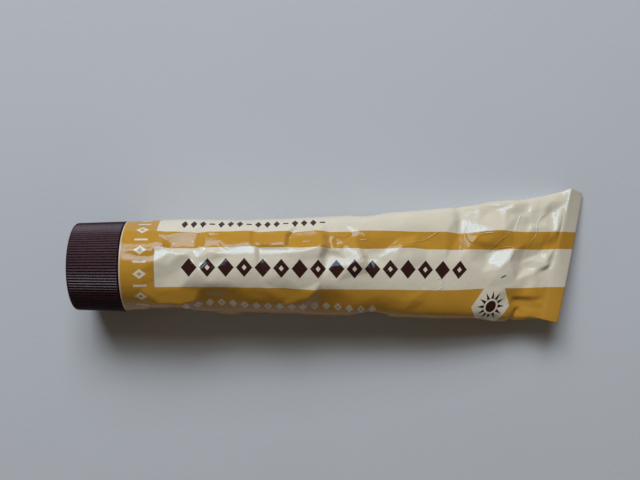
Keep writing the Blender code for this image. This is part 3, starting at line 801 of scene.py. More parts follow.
def rolled(name, rows, ways):
    """A sheet laid on rows of points round the tube and joined to itself, with its flat places as UVs."""
    bpy.ops.object.select_all(action="DESELECT")
    bpy.ops.mesh.primitive_grid_add(
        x_subdivisions=AROUND_COUNT, y_subdivisions=len(rows) - 1, size=2.0, calc_uvs=False)
    piece = bpy.context.object
    piece.name = name
    mesh = piece.data
    flat = np.zeros(3 * len(mesh.vertices))
    mesh.vertices.foreach_get("co", flat)
    flat = (flat.reshape(-1, 3) + 1.0) / 2.0
    columns = np.rint(flat[:, 0] * AROUND_COUNT).astype(int)
    lines = np.rint(flat[:, 1] * (len(rows) - 1)).astype(int)
    places = np.array(rows)[lines, columns] + np.array(ORIGIN)
    mesh.vertices.foreach_set("co", places.ravel())
    turns = columns / AROUND_COUNT + np.array([print_drift(way) for way in ways])[lines]
    spread = np.stack(((np.array(ways)[lines] + PRINT_OFFSET) / PRINT_SPAN, turns), axis=1)
    corners = np.zeros(len(mesh.loops), dtype=np.int32)
    mesh.loops.foreach_get("vertex_index", corners)
    layer = mesh.uv_layers.new(name="print")
    layer.data.foreach_set("uv", spread[corners].ravel())
    return close_and_smooth(piece)


def turned(name, stops, count, ring=False):
    """A circle drawn out along X from stop to stop, each a place on the axis and a radius, then closed."""
    bpy.ops.object.select_all(action="DESELECT")
    along, radius = stops[0]
    bpy.ops.mesh.primitive_circle_add(
        vertices=count, radius=radius, location=ORIGIN + Vector((along, 0.0, 0.0)),
        rotation=(0.0, math.pi / 2.0, 0.0), calc_uvs=False)
    piece = bpy.context.object
    piece.name = name
    bpy.ops.object.mode_set(mode="EDIT")
    bpy.ops.mesh.select_all(action="SELECT")
    for next_along, next_radius in stops[1:] + (stops[:1] if ring else []):
        bpy.ops.mesh.extrude_region_move(TRANSFORM_OT_translate={"value": (next_along - along, 0.0, 0.0)})
        draw_in(next_along, next_radius / radius)
        along, radius = next_along, next_radius
    if not ring:
        bpy.ops.mesh.extrude_region_move(TRANSFORM_OT_translate={"value": (0.0, 0.0, 0.0)})
        draw_in(along, 0.0)
        bpy.ops.mesh.select_all(action="SELECT")
        bpy.ops.mesh.remove_doubles(threshold=MERGE_DISTANCE)
        bpy.ops.mesh.select_all(action="DESELECT")
        bpy.ops.mesh.select_non_manifold()
        bpy.ops.mesh.extrude_region_move(TRANSFORM_OT_translate={"value": (0.0, 0.0, 0.0)})
        draw_in(stops[0][0], 0.0)
    bpy.ops.object.mode_set(mode="OBJECT")
    return close_and_smooth(piece)


def draw_in(along, ratio):
    """Scales what is selected towards the axis."""
    centre = ORIGIN + Vector((along, 0.0, 0.0))
    bpy.ops.transform.resize(value=(1.0, ratio, ratio), center_override=centre)


def thread_ridge(name, start, radius, height):
    """A right-handed ridge wound round the axis, from a small wedge drawn along a screw."""
    bpy.ops.object.select_all(action="DESELECT")
    bpy.ops.mesh.primitive_plane_add(size=1.0, location=ORIGIN, calc_uvs=False)
    piece = bpy.context.object
    piece.name = name
    half_foot, half_crest = THREAD_FOOT_SHARE * THREAD_PITCH, THREAD_CREST_SHARE * THREAD_PITCH
    corners = ((-half_foot, 0.0), (half_foot, 0.0), (-half_crest, height), (half_crest, height))
    for vertex, (along, out) in zip(piece.data.vertices, corners):
        vertex.co = (start + along, 0.0, radius + out)
    leave_only(piece)
    bpy.ops.object.mode_set(mode="EDIT")
    bpy.ops.mesh.select_all(action="SELECT")
    bpy.ops.mesh.delete(type="ONLY_FACE")
    bpy.ops.object.mode_set(mode="OBJECT")
    winding = piece.modifiers.new("winding", "SCREW")
    winding.axis = "X"
    winding.steps = THREAD_STEP_COUNT
    winding.render_steps = THREAD_STEP_COUNT
    winding.iterations = THREAD_TURNS
    winding.screw_offset = -THREAD_PITCH
    bpy.ops.object.modifier_apply(modifier="winding")
    bpy.ops.object.mode_set(mode="EDIT")
    bpy.ops.mesh.select_all(action="SELECT")
    bpy.ops.mesh.fill_holes(sides=len(corners))
    bpy.ops.object.mode_set(mode="OBJECT")
    return close_and_smooth(piece)


def joined(piece, ridge):
    """Makes one object of a piece and the ridge of its thread."""
    leave_only(piece)
    ridge.select_set(True)
    bpy.ops.object.join()
    return piece


def dress(piece, node, body, materials):
    """Gives a piece its materials and body, and hides the solid that it stands for where one is named."""
    piece.data.materials.clear()
    for material in materials:
        piece.data.materials.append(material)
    if node:
        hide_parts(node)
    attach(piece, body)


def shoulder_face(radius):
    """Where the outside of the shoulder's cone lies at a radius."""
    return -SHOULDER_SLOPE * (SLEEVE_RADIUS - radius)


def inner_inset(along):
    """How far the sleeve's inside lies from its outside: less towards the flat end, where room ends."""
    thin = smooth_share(SLEEVE_THINNING_START, SLEEVE_THINNING_END, along)
    return SLEEVE_INSET + (SLEEVE_END_INSET - SLEEVE_INSET) * thin


def inner_rows(last):
    """Which rows the sleeve's inside has: close ones where the room between the walls is small."""
    thin = int(SLEEVE_THINNING_START / FLAT_START * ALONG_COUNT)
    return list(range(last - INNER_STEP_THIN, thin, -INNER_STEP_THIN)) + list(range(thin, -1, -INNER_STEP))


def make_sleeve(stations, creased, outward):
    """The printed foil sleeve with its inside, its edge turned over the shoulder, and its rolled fold."""
    rows, ways = [], []
    last_inner = int(round((FLAT_START - CAVITY_TIP) / FLAT_START * ALONG_COUNT))
    rows.append(pressed_shut(creased[last_inner] - outward[last_inner] * inner_inset(stations[last_inner])))
    ways.append(-stations[last_inner])
    for row in inner_rows(last_inner):
        rows.append(creased[row] - outward[row] * inner_inset(stations[row]))
        ways.append(-stations[row])
    for step in range(EDGE_TURN_COUNT):
        turn = math.pi / 2.0 * step / EDGE_TURN_COUNT
        row = creased[0] * (1.0 - EDGE_TURN_RADIUS / SLEEVE_RADIUS * (1.0 - math.sin(turn)))
        row[:, 0] = shoulder_face(SLEEVE_RADIUS - EDGE_TURN_RADIUS) * math.cos(turn)
        rows.append(row)
        ways.append(-EDGE_TURN_RADIUS * (1.0 - step / EDGE_TURN_COUNT))
    rows += list(creased)
    ways += list(stations)
    folded, travelled = fold_rows()
    rows += folded
    ways += travelled
    return rolled("sleeve", rows, ways)


def make_nozzle():
    """The bare shoulder and threaded neck, which end inside the sleeve's edge."""
    inside = SHOULDER_WALL * math.hypot(1.0, SHOULDER_SLOPE)
    edge = SLEEVE_RADIUS - TUCK_SHARE * EDGE_TURN_RADIUS
    foot = NECK_RADIUS + NECK_FILLET
    fillet_along, fillet_out = [share * NECK_FILLET for share in FILLET_MIDDLE_SHARES]
    lip = ROUND_MIDDLE_SHARE * LIP_ROUND
    stops = [
        (shoulder_face(BORE_RADIUS) + inside, BORE_RADIUS),
        (shoulder_face(edge) + inside, edge),
        (shoulder_face(edge), edge),
        (shoulder_face(edge - EDGE_TURN_RADIUS), edge - EDGE_TURN_RADIUS),
        (shoulder_face(foot), foot),
        (shoulder_face(NECK_RADIUS) - fillet_along, NECK_RADIUS + fillet_out),
        (shoulder_face(NECK_RADIUS) - NECK_FILLET, NECK_RADIUS),
        (NECK_TIP + LIP_ROUND, NECK_RADIUS),
        (NECK_TIP + lip, NECK_RADIUS - lip),
        (NECK_TIP, NECK_RADIUS - LIP_ROUND),
        (NECK_TIP, BORE_RADIUS + LIP_ROUND),
        (NECK_TIP + lip, BORE_RADIUS + lip),
        (NECK_TIP + LIP_ROUND, BORE_RADIUS),
    ]
    nozzle = turned("nozzle", stops, TURN_COUNT, ring=True)
    height = THREAD_HEIGHT + THREAD_SINK
    return joined(nozzle, thread_ridge("neck_thread", THREAD_START, NECK_RADIUS - THREAD_SINK, height))


def make_cap():
    """The moulded cap: ribbed outside, with a threaded barrel inside it that screws on the neck."""
    skirt = SLEEVE_RADIUS - CAP_SKIRT_WALL
    inner = skirt - CAP_TAPER
    land = SLEEVE_RADIUS - CAP_RIB_DEPTH - CAP_MOUTH_LAND
    barrel = BARREL_BORE_RADIUS + BARREL_WALL
    barrel_end = shoulder_face(BARREL_BORE_RADIUS) - BARREL_SHOULDER_GAP
    mouth_along, mouth_out = [share * CAP_MOUTH_CHAMFER for share in MOUTH_MIDDLE_SHARES]
    stops = [
        (CAP_CEILING, BARREL_BORE_RADIUS),
        (barrel_end - BARREL_CHAMFER, BARREL_BORE_RADIUS),
        (barrel_end, BARREL_BORE_RADIUS + BARREL_CHAMFER),
        (barrel_end, barrel - BARREL_CHAMFER),
        (barrel_end - BARREL_CHAMFER, barrel),
        (CAP_CEILING + CAP_INNER_CHAMFER, barrel),
        (CAP_CEILING, barrel + CAP_INNER_CHAMFER),
        (CAP_CEILING, inner - CAP_INNER_CHAMFER),
        (CAP_CEILING + CAP_INNER_CHAMFER, inner),
        (CAP_MOUTH + shoulder_face(skirt) - shoulder_face(land), skirt),
        (CAP_MOUTH, land),
        (CAP_MOUTH, SLEEVE_RADIUS - CAP_RIB_DEPTH),
        (CAP_MOUTH - mouth_along, SLEEVE_RADIUS - mouth_out),
        (CAP_MOUTH - CAP_MOUTH_CHAMFER, SLEEVE_RADIUS),
    ]
    wall_end = CAP_END + CAP_EDGE_ROUND
    for share in CAP_WALL_SHARES:
        stops.append((CAP_MOUTH + (wall_end - CAP_MOUTH) * share, SLEEVE_RADIUS - CAP_TAPER * share))
    for step in range(1, CAP_EDGE_STEP_COUNT + 1):
        turn = math.pi / 2.0 * step / CAP_EDGE_STEP_COUNT
        along = wall_end - CAP_EDGE_ROUND * math.sin(turn)
        stops.append((along, SLEEVE_RADIUS - CAP_TAPER - CAP_EDGE_ROUND * (1.0 - math.cos(turn))))
    cap = turned("cap_shell", stops, CAP_RIB_COUNT * POINTS_A_RIB)
    cut_ribs(cap)
    start, foot = THREAD_START - THREAD_PITCH / 2.0, BARREL_BORE_RADIUS + THREAD_SINK
    return joined(cap, thread_ridge("cap_thread", start, foot, -THREAD_HEIGHT - THREAD_SINK))


def cut_ribs(cap):
    """Presses the grooves into the cap's outer wall. They run out at its rounded end."""
    mesh = cap.data
    places = np.zeros(3 * len(mesh.vertices))
    mesh.vertices.foreach_get("co", places)
    places = places.reshape(-1, 3)
    along = places[:, 0] - ORIGIN.x
    across, up = places[:, 1] - ORIGIN.y, places[:, 2] - ORIGIN.z
    radius = np.hypot(across, up)
    wall = SLEEVE_RADIUS - CAP_TAPER * np.clip((along - CAP_MOUTH) / (CAP_END - CAP_MOUTH), 0.0, 1.0)
    foot = SLEEVE_RADIUS - CAP_RIB_DEPTH
    outer = radius > wall - RIBBED_EDGE_SHARE * CAP_EDGE_ROUND
    outer &= (along < CAP_MOUTH - MERGE_DISTANCE) | (radius > foot - MERGE_DISTANCE)
    step = np.rint(np.arctan2(across, up) / (2.0 * math.pi) * CAP_RIB_COUNT * POINTS_A_RIB).astype(int)
    depth = CAP_RIB_DEPTH * np.array(RIB_DEPTH_SHARES)[step % POINTS_A_RIB]
    fade = np.clip((along - CAP_END - RIB_END_SHARE * CAP_EDGE_ROUND) / RIB_FADE, 0.0, 1.0)
    depth = np.where(outer, depth * fade, 0.0)
    room = np.maximum(radius - foot, 0.0)
    depth = np.where(along > CAP_MOUTH - CAP_MOUTH_CHAMFER, np.minimum(depth, room), depth)
    places[:, 1] -= across / np.maximum(radius, MERGE_DISTANCE) * depth
    places[:, 2] -= up / np.maximum(radius, MERGE_DISTANCE) * depth
    mesh.vertices.foreach_set("co", places.ravel())
    leave_only(cap)
    bpy.ops.object.shade_smooth_by_angle(angle=math.radians(RIB_SMOOTH_DEGREES))


def make_liner():
    """The soft wad in the cap's ceiling, with the ring that the nozzle's lip has pressed into it."""
    groove, half = LINER_GROOVE_RADIUS, LINER_GROOVE_WIDTH / 2.0
    edge, middle = LINER_EDGE_ROUND, ROUND_MIDDLE_SHARE * LINER_EDGE_ROUND
    brim, floor = LINER_FACE - ROUND_MIDDLE_SHARE * LINER_GROOVE_DEPTH, LINER_FACE - LINER_GROOVE_DEPTH
    stops = [
        (LINER_BACK, LINER_RADIUS - edge),
        (LINER_BACK + middle, LINER_RADIUS - middle),
        (LINER_BACK + edge, LINER_RADIUS),
        (LINER_FACE - edge, LINER_RADIUS),
        (LINER_FACE - middle, LINER_RADIUS - middle),
        (LINER_FACE, LINER_RADIUS - edge),
        (LINER_FACE, groove + half + edge),
        (brim, groove + half),
        (floor, groove + GROOVE_FLOOR_SHARE * half),
        (floor, groove - GROOVE_FLOOR_SHARE * half),
        (brim, groove - half),
        (LINER_FACE, groove - half - edge),
        (LINER_FACE, LINER_MIDDLE_SHARE * groove),
    ]
    return turned("liner_wad", stops, TURN_COUNT)


def make_cream(stations, creased, outward):
    """The filling, clear of the sleeve's inside, with a rounded front in the nozzle's bore."""
    angles = np.linspace(-math.pi, math.pi, AROUND_COUNT + 1)
    circle = np.stack((np.zeros_like(angles), np.sin(angles), np.cos(angles)), axis=1)
    bore = BORE_RADIUS - CREAM_NECK_GAP
    lean = math.hypot(1.0, SHOULDER_SLOPE)
    clear = (SHOULDER_WALL + CREAM_NECK_GAP) * lean
    turns = [math.pi / 2.0 * step / CREAM_DOME_STEP_COUNT for step in range(CREAM_DOME_STEP_COUNT + 1)]
    front = [(CREAM_FACE + CREAM_DOME * (1.0 - math.cos(turn)), bore * math.sin(turn)) for turn in turns]
    front += [
        (shoulder_face(BORE_RADIUS) + SHOULDER_WALL * lean, bore),
        (shoulder_face(BORE_RADIUS) + clear + CREAM_CORNER[0], bore + CREAM_CORNER[1]),
        (shoulder_face(SLEEVE_RADIUS) + clear, SLEEVE_RADIUS - CREAM_INSET),
    ]
    rows = []
    for along, radius in front:
        row = circle * radius
        row[:, 0] = along
        rows.append(row)
    first = int(np.searchsorted(stations, CREAM_FULL_START))
    heights = [half_height(along / FLAT_START) for along in stations[first:-1]]
    roomy = first + max(np.flatnonzero(np.array(heights) > CREAM_ROOM_LEAST))
    last = min(int(np.searchsorted(stations, CREAM_END)) - 1, roomy)
    for row in list(range(first, last, CREAM_STATION_STEP)) + [last]:
        inset = np.minimum(CREAM_INSET, inner_inset(stations[row]) + (CREAM_INSET - SLEEVE_INSET))
        rows.append(creased[row] - outward[row] * inset)
    rows.append(pressed_shut(rows[-1]))
    return rolled("cream_filling", rows, [row[0, 0] for row in rows])


# Finishes

class Signal:
    """One value in a finish, so that its sums can be written as plain formulas."""

    def __init__(self, finish, socket):
        self.finish = finish
        self.socket = socket

    def __add__(self, other):
        return self.finish.maths("ADD", self, other)

    def __sub__(self, other):
        return self.finish.maths("SUBTRACT", self, other)

    def __rsub__(self, other):
        return self.finish.maths("SUBTRACT", other, self)

    def __mul__(self, other):
        return self.finish.maths("MULTIPLY", self, other)

    def __truediv__(self, other):
        return self.finish.maths("DIVIDE", self, other)

    __radd__ = __add__
    __rmul__ = __mul__


class NodeTree:
    """The nodes of a material or a room, made one by one."""

    def __init__(self, owner):
        self.owner = owner
        owner.use_nodes = True
        self.tree = owner.node_tree
        self.tree.nodes.clear()

    def node(self, kind, settings, values):
        """Adds a node with its settings, and then the values or links of its sockets."""
        made = self.tree.nodes.new(kind)
        for key, value in settings.items():
            setattr(made, key, value)
        for key, value in values.items():
            if isinstance(value, Signal):
                self.tree.links.new(value.socket, made.inputs[key])
            else:
                made.inputs[key].default_value = value
        return made

    def signal(self, node, output=0):
        """What comes out of a node."""
        return Signal(self, node.outputs[output])


class Finish(NodeTree):
    """A material's nodes, with sums and patterns."""

    def __init__(self, name):
        super().__init__(bpy.data.materials.new(name))

    def maths(self, operation, *values, clamp=False):
        """A sum of plain values."""
        settings = {"operation": operation, "use_clamp": clamp}
        return self.signal(self.node("ShaderNodeMath", settings, dict(enumerate(values))))

    def most(self, *values):
        """The greatest of some values."""
        return functools.reduce(lambda first, second: self.maths("MAXIMUM", first, second), values)

    def limited(self, value):
        """A value held between 0 and 1."""
        return self.maths("MINIMUM", self.maths("MAXIMUM", value, 0.0), 1.0)

    def vectors(self, operation, *values):
        """A sum of vectors: a plain value where the operation gives one."""
        made = self.node("ShaderNodeVectorMath", {"operation": operation}, dict(enumerate(values)))
        return self.signal(made, 1 if operation in ("DOT_PRODUCT", "DISTANCE") else 0)

    def blend(self, share, first, second):
        """A colour that goes from the first to the second as the share goes from 0 to 1."""
        values = {0: share, 6: first, 7: second}
        return self.signal(self.node("ShaderNodeMix", {"data_type": "RGBA"}, values), 2)

    def tinted(self, colour, shade):
        """A colour made darker or lighter by a value."""
        parts = self.node("ShaderNodeCombineXYZ", {}, {0: shade, 1: shade, 2: shade})
        settings = {"data_type": "RGBA", "blend_type": "MULTIPLY"}
        values = {0: 1.0, 6: colour, 7: self.signal(parts)}
        return self.signal(self.node("ShaderNodeMix", settings, values), 2)

    def places(self):
        """Where a point of the piece is, in metres."""
        return self.signal(self.node("ShaderNodeTexCoord", {}, {}), 3)

    def noise(self, scale, detail=2.0, place=None):
        """Uneven values about a half, with this many changes a metre."""
        values = {"Vector": place or self.places(), "Scale": scale, "Detail": detail, "Roughness": 0.5}
        return self.signal(self.node("ShaderNodeTexNoise", {}, values))

    def stretched(self, stretch, turn=(0.0, 0.0, 0.0)):
        """Places drawn out along the axes, for brushed and scratched patterns."""
        values = {"Vector": self.places(), "Rotation": turn, "Scale": stretch}
        return self.signal(self.node("ShaderNodeMapping", {}, values))

    def past(self, value, edge, width):
        """0 below an edge and 1 above it, with a change of this width."""
        return self.maths("MULTIPLY_ADD", value, 1.0 / width, 0.5 - edge / width, clamp=True)

    def short_of(self, value, edge, width):
        """1 below an edge and 0 above it, with a change of this width."""
        return 1.0 - self.past(value, edge, width)

    def within(self, value, low, high, width):
        """1 between two edges and 0 outside them, with changes of this width."""
        return self.past(value, low, width) - self.past(value, high, width)

    def bump(self, height, distance):
        """Relief whose heights are counted in this distance."""
        values = {"Height": height, "Distance": distance, "Strength": 1.0}
        return self.signal(self.node("ShaderNodeBump", {}, values))

    def surface(self, values):
        """Ends the finish in one shader."""
        shader = self.node("ShaderNodeBsdfPrincipled", {}, values)
        self.node("ShaderNodeOutputMaterial", {}, {"Surface": self.signal(shader)})
        return self.owner


# Colours, and sizes of print, wear, painted shade and relief
OCHRE = (0.54, 0.276, 0.034, 1.0)
CREAM_LACQUER = (0.74, 0.67, 0.545, 1.0)
DARK_INK = (0.040, 0.013, 0.011, 1.0)
BARE_METAL = (0.66, 0.65, 0.62, 1.0)
BROWN_PLASTIC = (0.036, 0.0118, 0.0160, 1.0)
WAXED_CARD = (0.74, 0.72, 0.66, 1.0)
WHITE_CREAM = (0.86, 0.84, 0.79, 1.0)
COMPOUND = (0.74, 0.71, 0.61, 1.0)
PALE_TABLE = (0.575, 0.598, 0.650, 1.0)
LACQUER_GLOSS_TINT = (0.50, 0.76, 1.0, 1.0)
PLASTIC_GLOSS_TINT = (0.90, 0.86, 1.0, 1.0)
SPECK_SHARE = 0.6
WORN_RIM_SHARE = 0.6
RAGGED_EDGE = 0.00012
MARK_EDGE = 0.00007
ROW_END_SHARE = 0.02
MARKS_A_GROUP = 4.0
DASH_SHARES = (0.8, 0.2)
SLANTED_STROKE_SHARE = 1.4
THIN_INK_SHARE = 0.85
SKIN_HEIGHT = 0.00012
FINE_SKIN_HEIGHT = 0.000013
# Painted shade on the fold, where it faces away from the window, with some grime: where it starts, how fast
# it comes in, and how strong it is
FOLD_SHADE_START = 0.0002
FOLD_SHADE_CHANGE = 0.0010
FOLD_SHADE_LOWER_CHANGE = 0.0110
FOLD_SHADE_ARC = 0.0
FOLD_SHADE_ARC_CHANGE = 0.016
FOLD_SHADE_SHARE = 0.24


def mark_row(finish, along, arc, row):
    """A row of diamonds, full and hollow by turns where it has a stroke, and dashes among them if not."""
    start, pitch, count, middle, half_along, half_arc, stroke = row
    cell = (along - start) / pitch
    index = finish.maths("FLOOR", cell)
    beside = finish.maths("ABSOLUTE", (cell - index - 0.5) * pitch)
    above = finish.maths("ABSOLUTE", arc - middle)
    reach = beside / half_along + above / half_arc
    diamond = finish.short_of(reach, 1.0, MARK_EDGE / half_along)
    run = finish.within(cell, 0.0, count, ROW_END_SHARE)
    if stroke:
        rim = 1.0 - SLANTED_STROKE_SHARE * stroke / half_along
        hollow = finish.short_of(reach, rim, MARK_EDGE / half_along)
        return diamond * (1.0 - hollow * finish.maths("MODULO", index, 2.0)) * run
    dash_along, dash_arc = DASH_SHARES[0] * half_along, DASH_SHARES[1] * half_arc
    dash = finish.short_of(beside, dash_along, MARK_EDGE) * finish.short_of(above, dash_arc, MARK_EDGE)
    fourth = finish.short_of(finish.maths("MODULO", index + 1.0, MARKS_A_GROUP), 0.5, 0.1)
    return finish.maths("ADD", diamond * (1.0 - fourth), dash * fourth) * run


def ring_marks(finish, along, turns):
    """Pale diamonds and bars by turns, right round the shoulder end of the sleeve."""
    half_along, half_arc = RING_MARK_HALF
    pitch = RING_MARK_PITCH_SHARE * SLEEVE_GIRTH
    cell = turns / RING_MARK_PITCH_SHARE
    index = finish.maths("FLOOR", cell)
    beside = finish.maths("ABSOLUTE", (cell - index - 0.5) * pitch)
    ahead = finish.maths("ABSOLUTE", along - RING_MARK_ALONG)
    reach = ahead / half_along + beside / half_arc
    width = MARK_EDGE / half_arc
    hollow = finish.short_of(reach, 1.0 - SLANTED_STROKE_SHARE * RING_MARK_STROKE / half_arc, width)
    diamond = finish.short_of(reach, 1.0, width) * (1.0 - hollow)
    bar = finish.short_of(beside, RING_MARK_STROKE / 2.0, MARK_EDGE)
    bar = bar * finish.short_of(ahead, half_along, MARK_EDGE)
    odd = finish.maths("MODULO", index, 2.0)
    return diamond * odd + bar * (1.0 - odd)


def fine_relief(finish, along, arc, points, outward):
    """The height of the foil's fine lines: each is a sharp crest that runs out on both sides."""
    here = finish.signal(finish.node("ShaderNodeCombineXYZ", {}, {0: along, 1: arc}))
    relief = 0.0
    for height, half, corners in FINE_LINES:
        spots = [Vector((*place, 0.0)) for place in foil_places(points, outward, corners)]
        nearest = 0.0
        for start, end in zip(spots, spots[1:]):
            run = end - start
            away = finish.vectors("SUBTRACT", here, start)
            share = finish.limited(finish.vectors("DOT_PRODUCT", away, run / run.length_squared))
            foot = finish.node("ShaderNodeVectorMath", {"operation": "SCALE"}, {0: run, 3: share})
            far = finish.vectors("DISTANCE", away, finish.signal(foot))
            nearest = finish.most(finish.maths("MULTIPLY_ADD", far, -1.0 / half, 1.0), nearest)
        relief = nearest * nearest * height + relief
    return relief


def badge(finish, along, arc):
    """The six-sided badge with its plain sun: the badge's area and the dark drawing on it."""
    ahead, above = along - BADGE_CENTRE[0], arc - BADGE_CENTRE[1]
    slant = math.sqrt(3.0) / 2.0
    first = finish.maths("ABSOLUTE", above)
    second = finish.maths("ABSOLUTE", ahead * slant + above * 0.5)
    third = finish.maths("ABSOLUTE", ahead * slant - above * 0.5)
    area = finish.short_of(finish.most(first, second, third), BADGE_RADIUS * slant, MARK_EDGE)
    far = finish.maths("SQRT", ahead * ahead + above * above)
    disc = finish.short_of(far, SUN_RADIUS, MARK_EDGE)
    ray_angle = 2.0 * math.pi / SUN_RAY_COUNT
    turn = finish.maths("ARCTAN2", above, ahead) * (1.0 / ray_angle)
    beside = finish.maths("ABSOLUTE", turn - finish.maths("ROUND", turn)) * far * ray_angle
    narrowing = (SUN_RAY_REACH[1] - far) * SUN_RAY_SLOPE
    ray = finish.past(narrowing - beside, 0.0, MARK_EDGE) * finish.past(far, SUN_RAY_REACH[0], MARK_EDGE)
    return area, finish.most(disc, ray)


def nick(finish, along, arc):
    """A spot where the print is chipped off."""
    turn = math.radians(NICK_TURN_DEGREES)
    ahead, above = along - NICK_CENTRE[0], arc - NICK_CENTRE[1]
    first = (ahead * math.cos(turn) + above * math.sin(turn)) / NICK_HALF[0]
    second = (above * math.cos(turn) - ahead * math.sin(turn)) / NICK_HALF[1]
    return finish.short_of(first * first + second * second, 1.0, NICK_EDGE_SHARE)


def pale_panels(finish, along, arc, ragged):
    """The cream-coloured panels between the ochre stripes, from the ring at the shoulder on."""
    panels = finish.within(arc, PANEL_LOW, PANEL_HIGH, PRINT_EDGE)
    panels = panels + finish.within(arc, STRIPE_HIGH, UPPER_PANEL_HIGH, PRINT_EDGE)
    panels = panels + finish.past(arc, BACK_STRIPE_HIGH, PRINT_EDGE)
    panels = panels + 1.0 - finish.past(arc, LOWER_FIELD_LOW, PRINT_EDGE)
    return panels * finish.past(along + ragged * RAGGED_EDGE, RING_END, PRINT_EDGE)


def fold_shade_and_grime(finish, along, arc):
    """Painted shade on the fold, which faces away from the window, with some grime; it fades in more slowly
    on the lower half.
    """
    lower = finish.short_of(arc, FOLD_SHADE_ARC, FOLD_SHADE_ARC_CHANGE)
    beyond = (along - FLAT_START - FOLD_SHADE_START) / (lower * FOLD_SHADE_LOWER_CHANGE + FOLD_SHADE_CHANGE)
    return finish.limited(beyond + 0.5) * FOLD_SHADE_SHARE


def printed_sleeve_finish(points, outward):
    """Glossy lacquer, printed in ochre, cream and dark brown, rubbed and slightly uneven."""
    finish = Finish("printed_lacquer")
    spread = finish.node("ShaderNodeUVMap", {"uv_map": "print"}, {})
    parts = finish.node("ShaderNodeSeparateXYZ", {}, {0: finish.signal(spread)})
    along = finish.signal(parts, 0) * PRINT_SPAN - PRINT_OFFSET
    turns = finish.signal(parts, 1)
    ragged = finish.noise(scale=900.0) - 0.5
    arc = (turns - 0.5) * SLEEVE_GIRTH + ragged * RAGGED_EDGE
    panels = pale_panels(finish, along, arc, ragged)
    badge_area, badge_drawing = badge(finish, along, arc)
    thin = mark_row(finish, along, arc, PALE_DIAMONDS) * THIN_INK_SHARE
    pale = finish.most(ring_marks(finish, along, turns), thin, badge_area, panels)
    dark = finish.most(mark_row(finish, along, arc, BROAD_DIAMONDS), badge_drawing)
    dark = finish.most(dark, mark_row(finish, along, arc, SMALL_LOZENGES))
    cloudy = finish.noise(scale=160.0, detail=4.0)
    fine = finish.noise(scale=2600.0, detail=3.0)
    shade = 0.90 + cloudy * 0.14 + fine * 0.06
    specks = finish.past(finish.noise(scale=1500.0), edge=0.735, width=0.02)
    colour = finish.blend(pale, OCHRE, CREAM_LACQUER)
    colour = finish.blend(dark, colour, DARK_INK)
    # The fold is darkened by painted shade, with some grime.
    colour = finish.tinted(colour, shade * (1.0 - fold_shade_and_grime(finish, along, arc)))
    bare = finish.most(nick(finish, along, arc), specks * SPECK_SHARE)
    bare = finish.most(bare, finish.short_of(along, -EDGE_TURN_RADIUS, PRINT_EDGE))
    worn_rim = finish.short_of(along, BARE_EDGE, PRINT_EDGE) * WORN_RIM_SHARE
    colour = finish.blend(finish.most(bare, worn_rim), colour, BARE_METAL)
    drawn_out = finish.stretched((1.0, 7.0, 7.0), (0.3, 0.2, 0.5))
    scratched = finish.noise(scale=340.0, detail=3.0, place=drawn_out)
    relief = fine_relief(finish, along, (turns - 0.5) * SLEEVE_GIRTH, points, outward)
    skin = finish.noise(scale=330.0) * SKIN_HEIGHT + fine * FINE_SKIN_HEIGHT + relief
    return finish.surface({
        "Base Color": colour,
        "Metallic": bare * 0.8,
        "Roughness": 0.09 + cloudy * 0.10 + finish.past(scratched, 0.66, 0.08) * 0.12 + bare * 0.2,
        "Normal": finish.bump(skin, distance=1.0),
        "IOR": 1.5,
        "Specular Tint": LACQUER_GLOSS_TINT,
    })


def bare_aluminium_finish():
    """Dull rolled aluminium, for the shoulder and the neck; the sleeve holds it as a second material that
    none of its faces use.
    """
    finish = Finish("bare_aluminium")
    drawn = finish.noise(scale=900.0, detail=3.0, place=finish.stretched((8.0, 1.0, 1.0)))
    patches = finish.noise(scale=220.0, detail=3.0)
    return finish.surface({
        "Base Color": finish.tinted(BARE_METAL, 0.78 + patches * 0.30),
        "Metallic": 1.0,
        "Roughness": 0.24 + drawn * 0.16 + patches * 0.08,
        "Normal": finish.bump(drawn, distance=0.00003),
    })


def brown_moulding_finish():
    """Dark brown moulded plastic, shiny, faintly clouded, rubbed and scuffed."""
    finish = Finish("brown_moulding")
    rubbed = finish.noise(scale=420.0, detail=4.0)
    scuffed = finish.noise(scale=1300.0, place=finish.stretched((1.0, 3.0, 3.0)))
    scuffs = finish.past(scuffed, edge=0.64, width=0.10)
    clouds = finish.noise(scale=90.0)
    return finish.surface({
        "Base Color": finish.tinted(BROWN_PLASTIC, 0.7 + clouds * 0.6),
        "Roughness": 0.08 + rubbed * 0.08 + scuffs * 0.12,
        "Normal": finish.bump(rubbed + scuffs * 0.3, distance=0.000012),
        "IOR": 1.52,
        "Specular IOR Level": 0.29,
        "Specular Tint": PLASTIC_GLOSS_TINT,
    })


def mottled_finish(name, colour, shade, scale, roughness, height):
    """An even finish, slightly mottled: its shade and roughness have a least value and a range."""
    finish = Finish(name)
    grain = finish.noise(scale=scale, detail=3.0)
    return finish.surface({
        "Base Color": finish.tinted(colour, shade[0] + grain * shade[1]),
        "Roughness": roughness[0] + grain * roughness[1],
        "Normal": finish.bump(grain, distance=height),
    })


def cream_finish():
    """White cream, smooth and slightly wet."""
    return mottled_finish(
        "white_cream", WHITE_CREAM,
        shade=(0.94, 0.08), scale=500.0, roughness=(0.30, 0.18), height=0.00012)


def sealing_finish():
    """Rubbery cream-coloured compound in the closed end."""
    return mottled_finish(
        "sealing_compound", COMPOUND,
        shade=(0.86, 0.20), scale=1400.0, roughness=(0.50, 0.20), height=0.00005)


def liner_finish():
    """Off-white waxed card, fibrous and a little stained."""
    finish = Finish("liner_card")
    fibres = finish.noise(scale=2400.0, detail=4.0)
    stains = finish.noise(scale=330.0, detail=3.0)
    return finish.surface({
        "Base Color": finish.tinted(WAXED_CARD, 0.82 + stains * 0.26),
        "Roughness": 0.50 + fibres * 0.25,
        "Normal": finish.bump(fibres, distance=0.00004),
    })


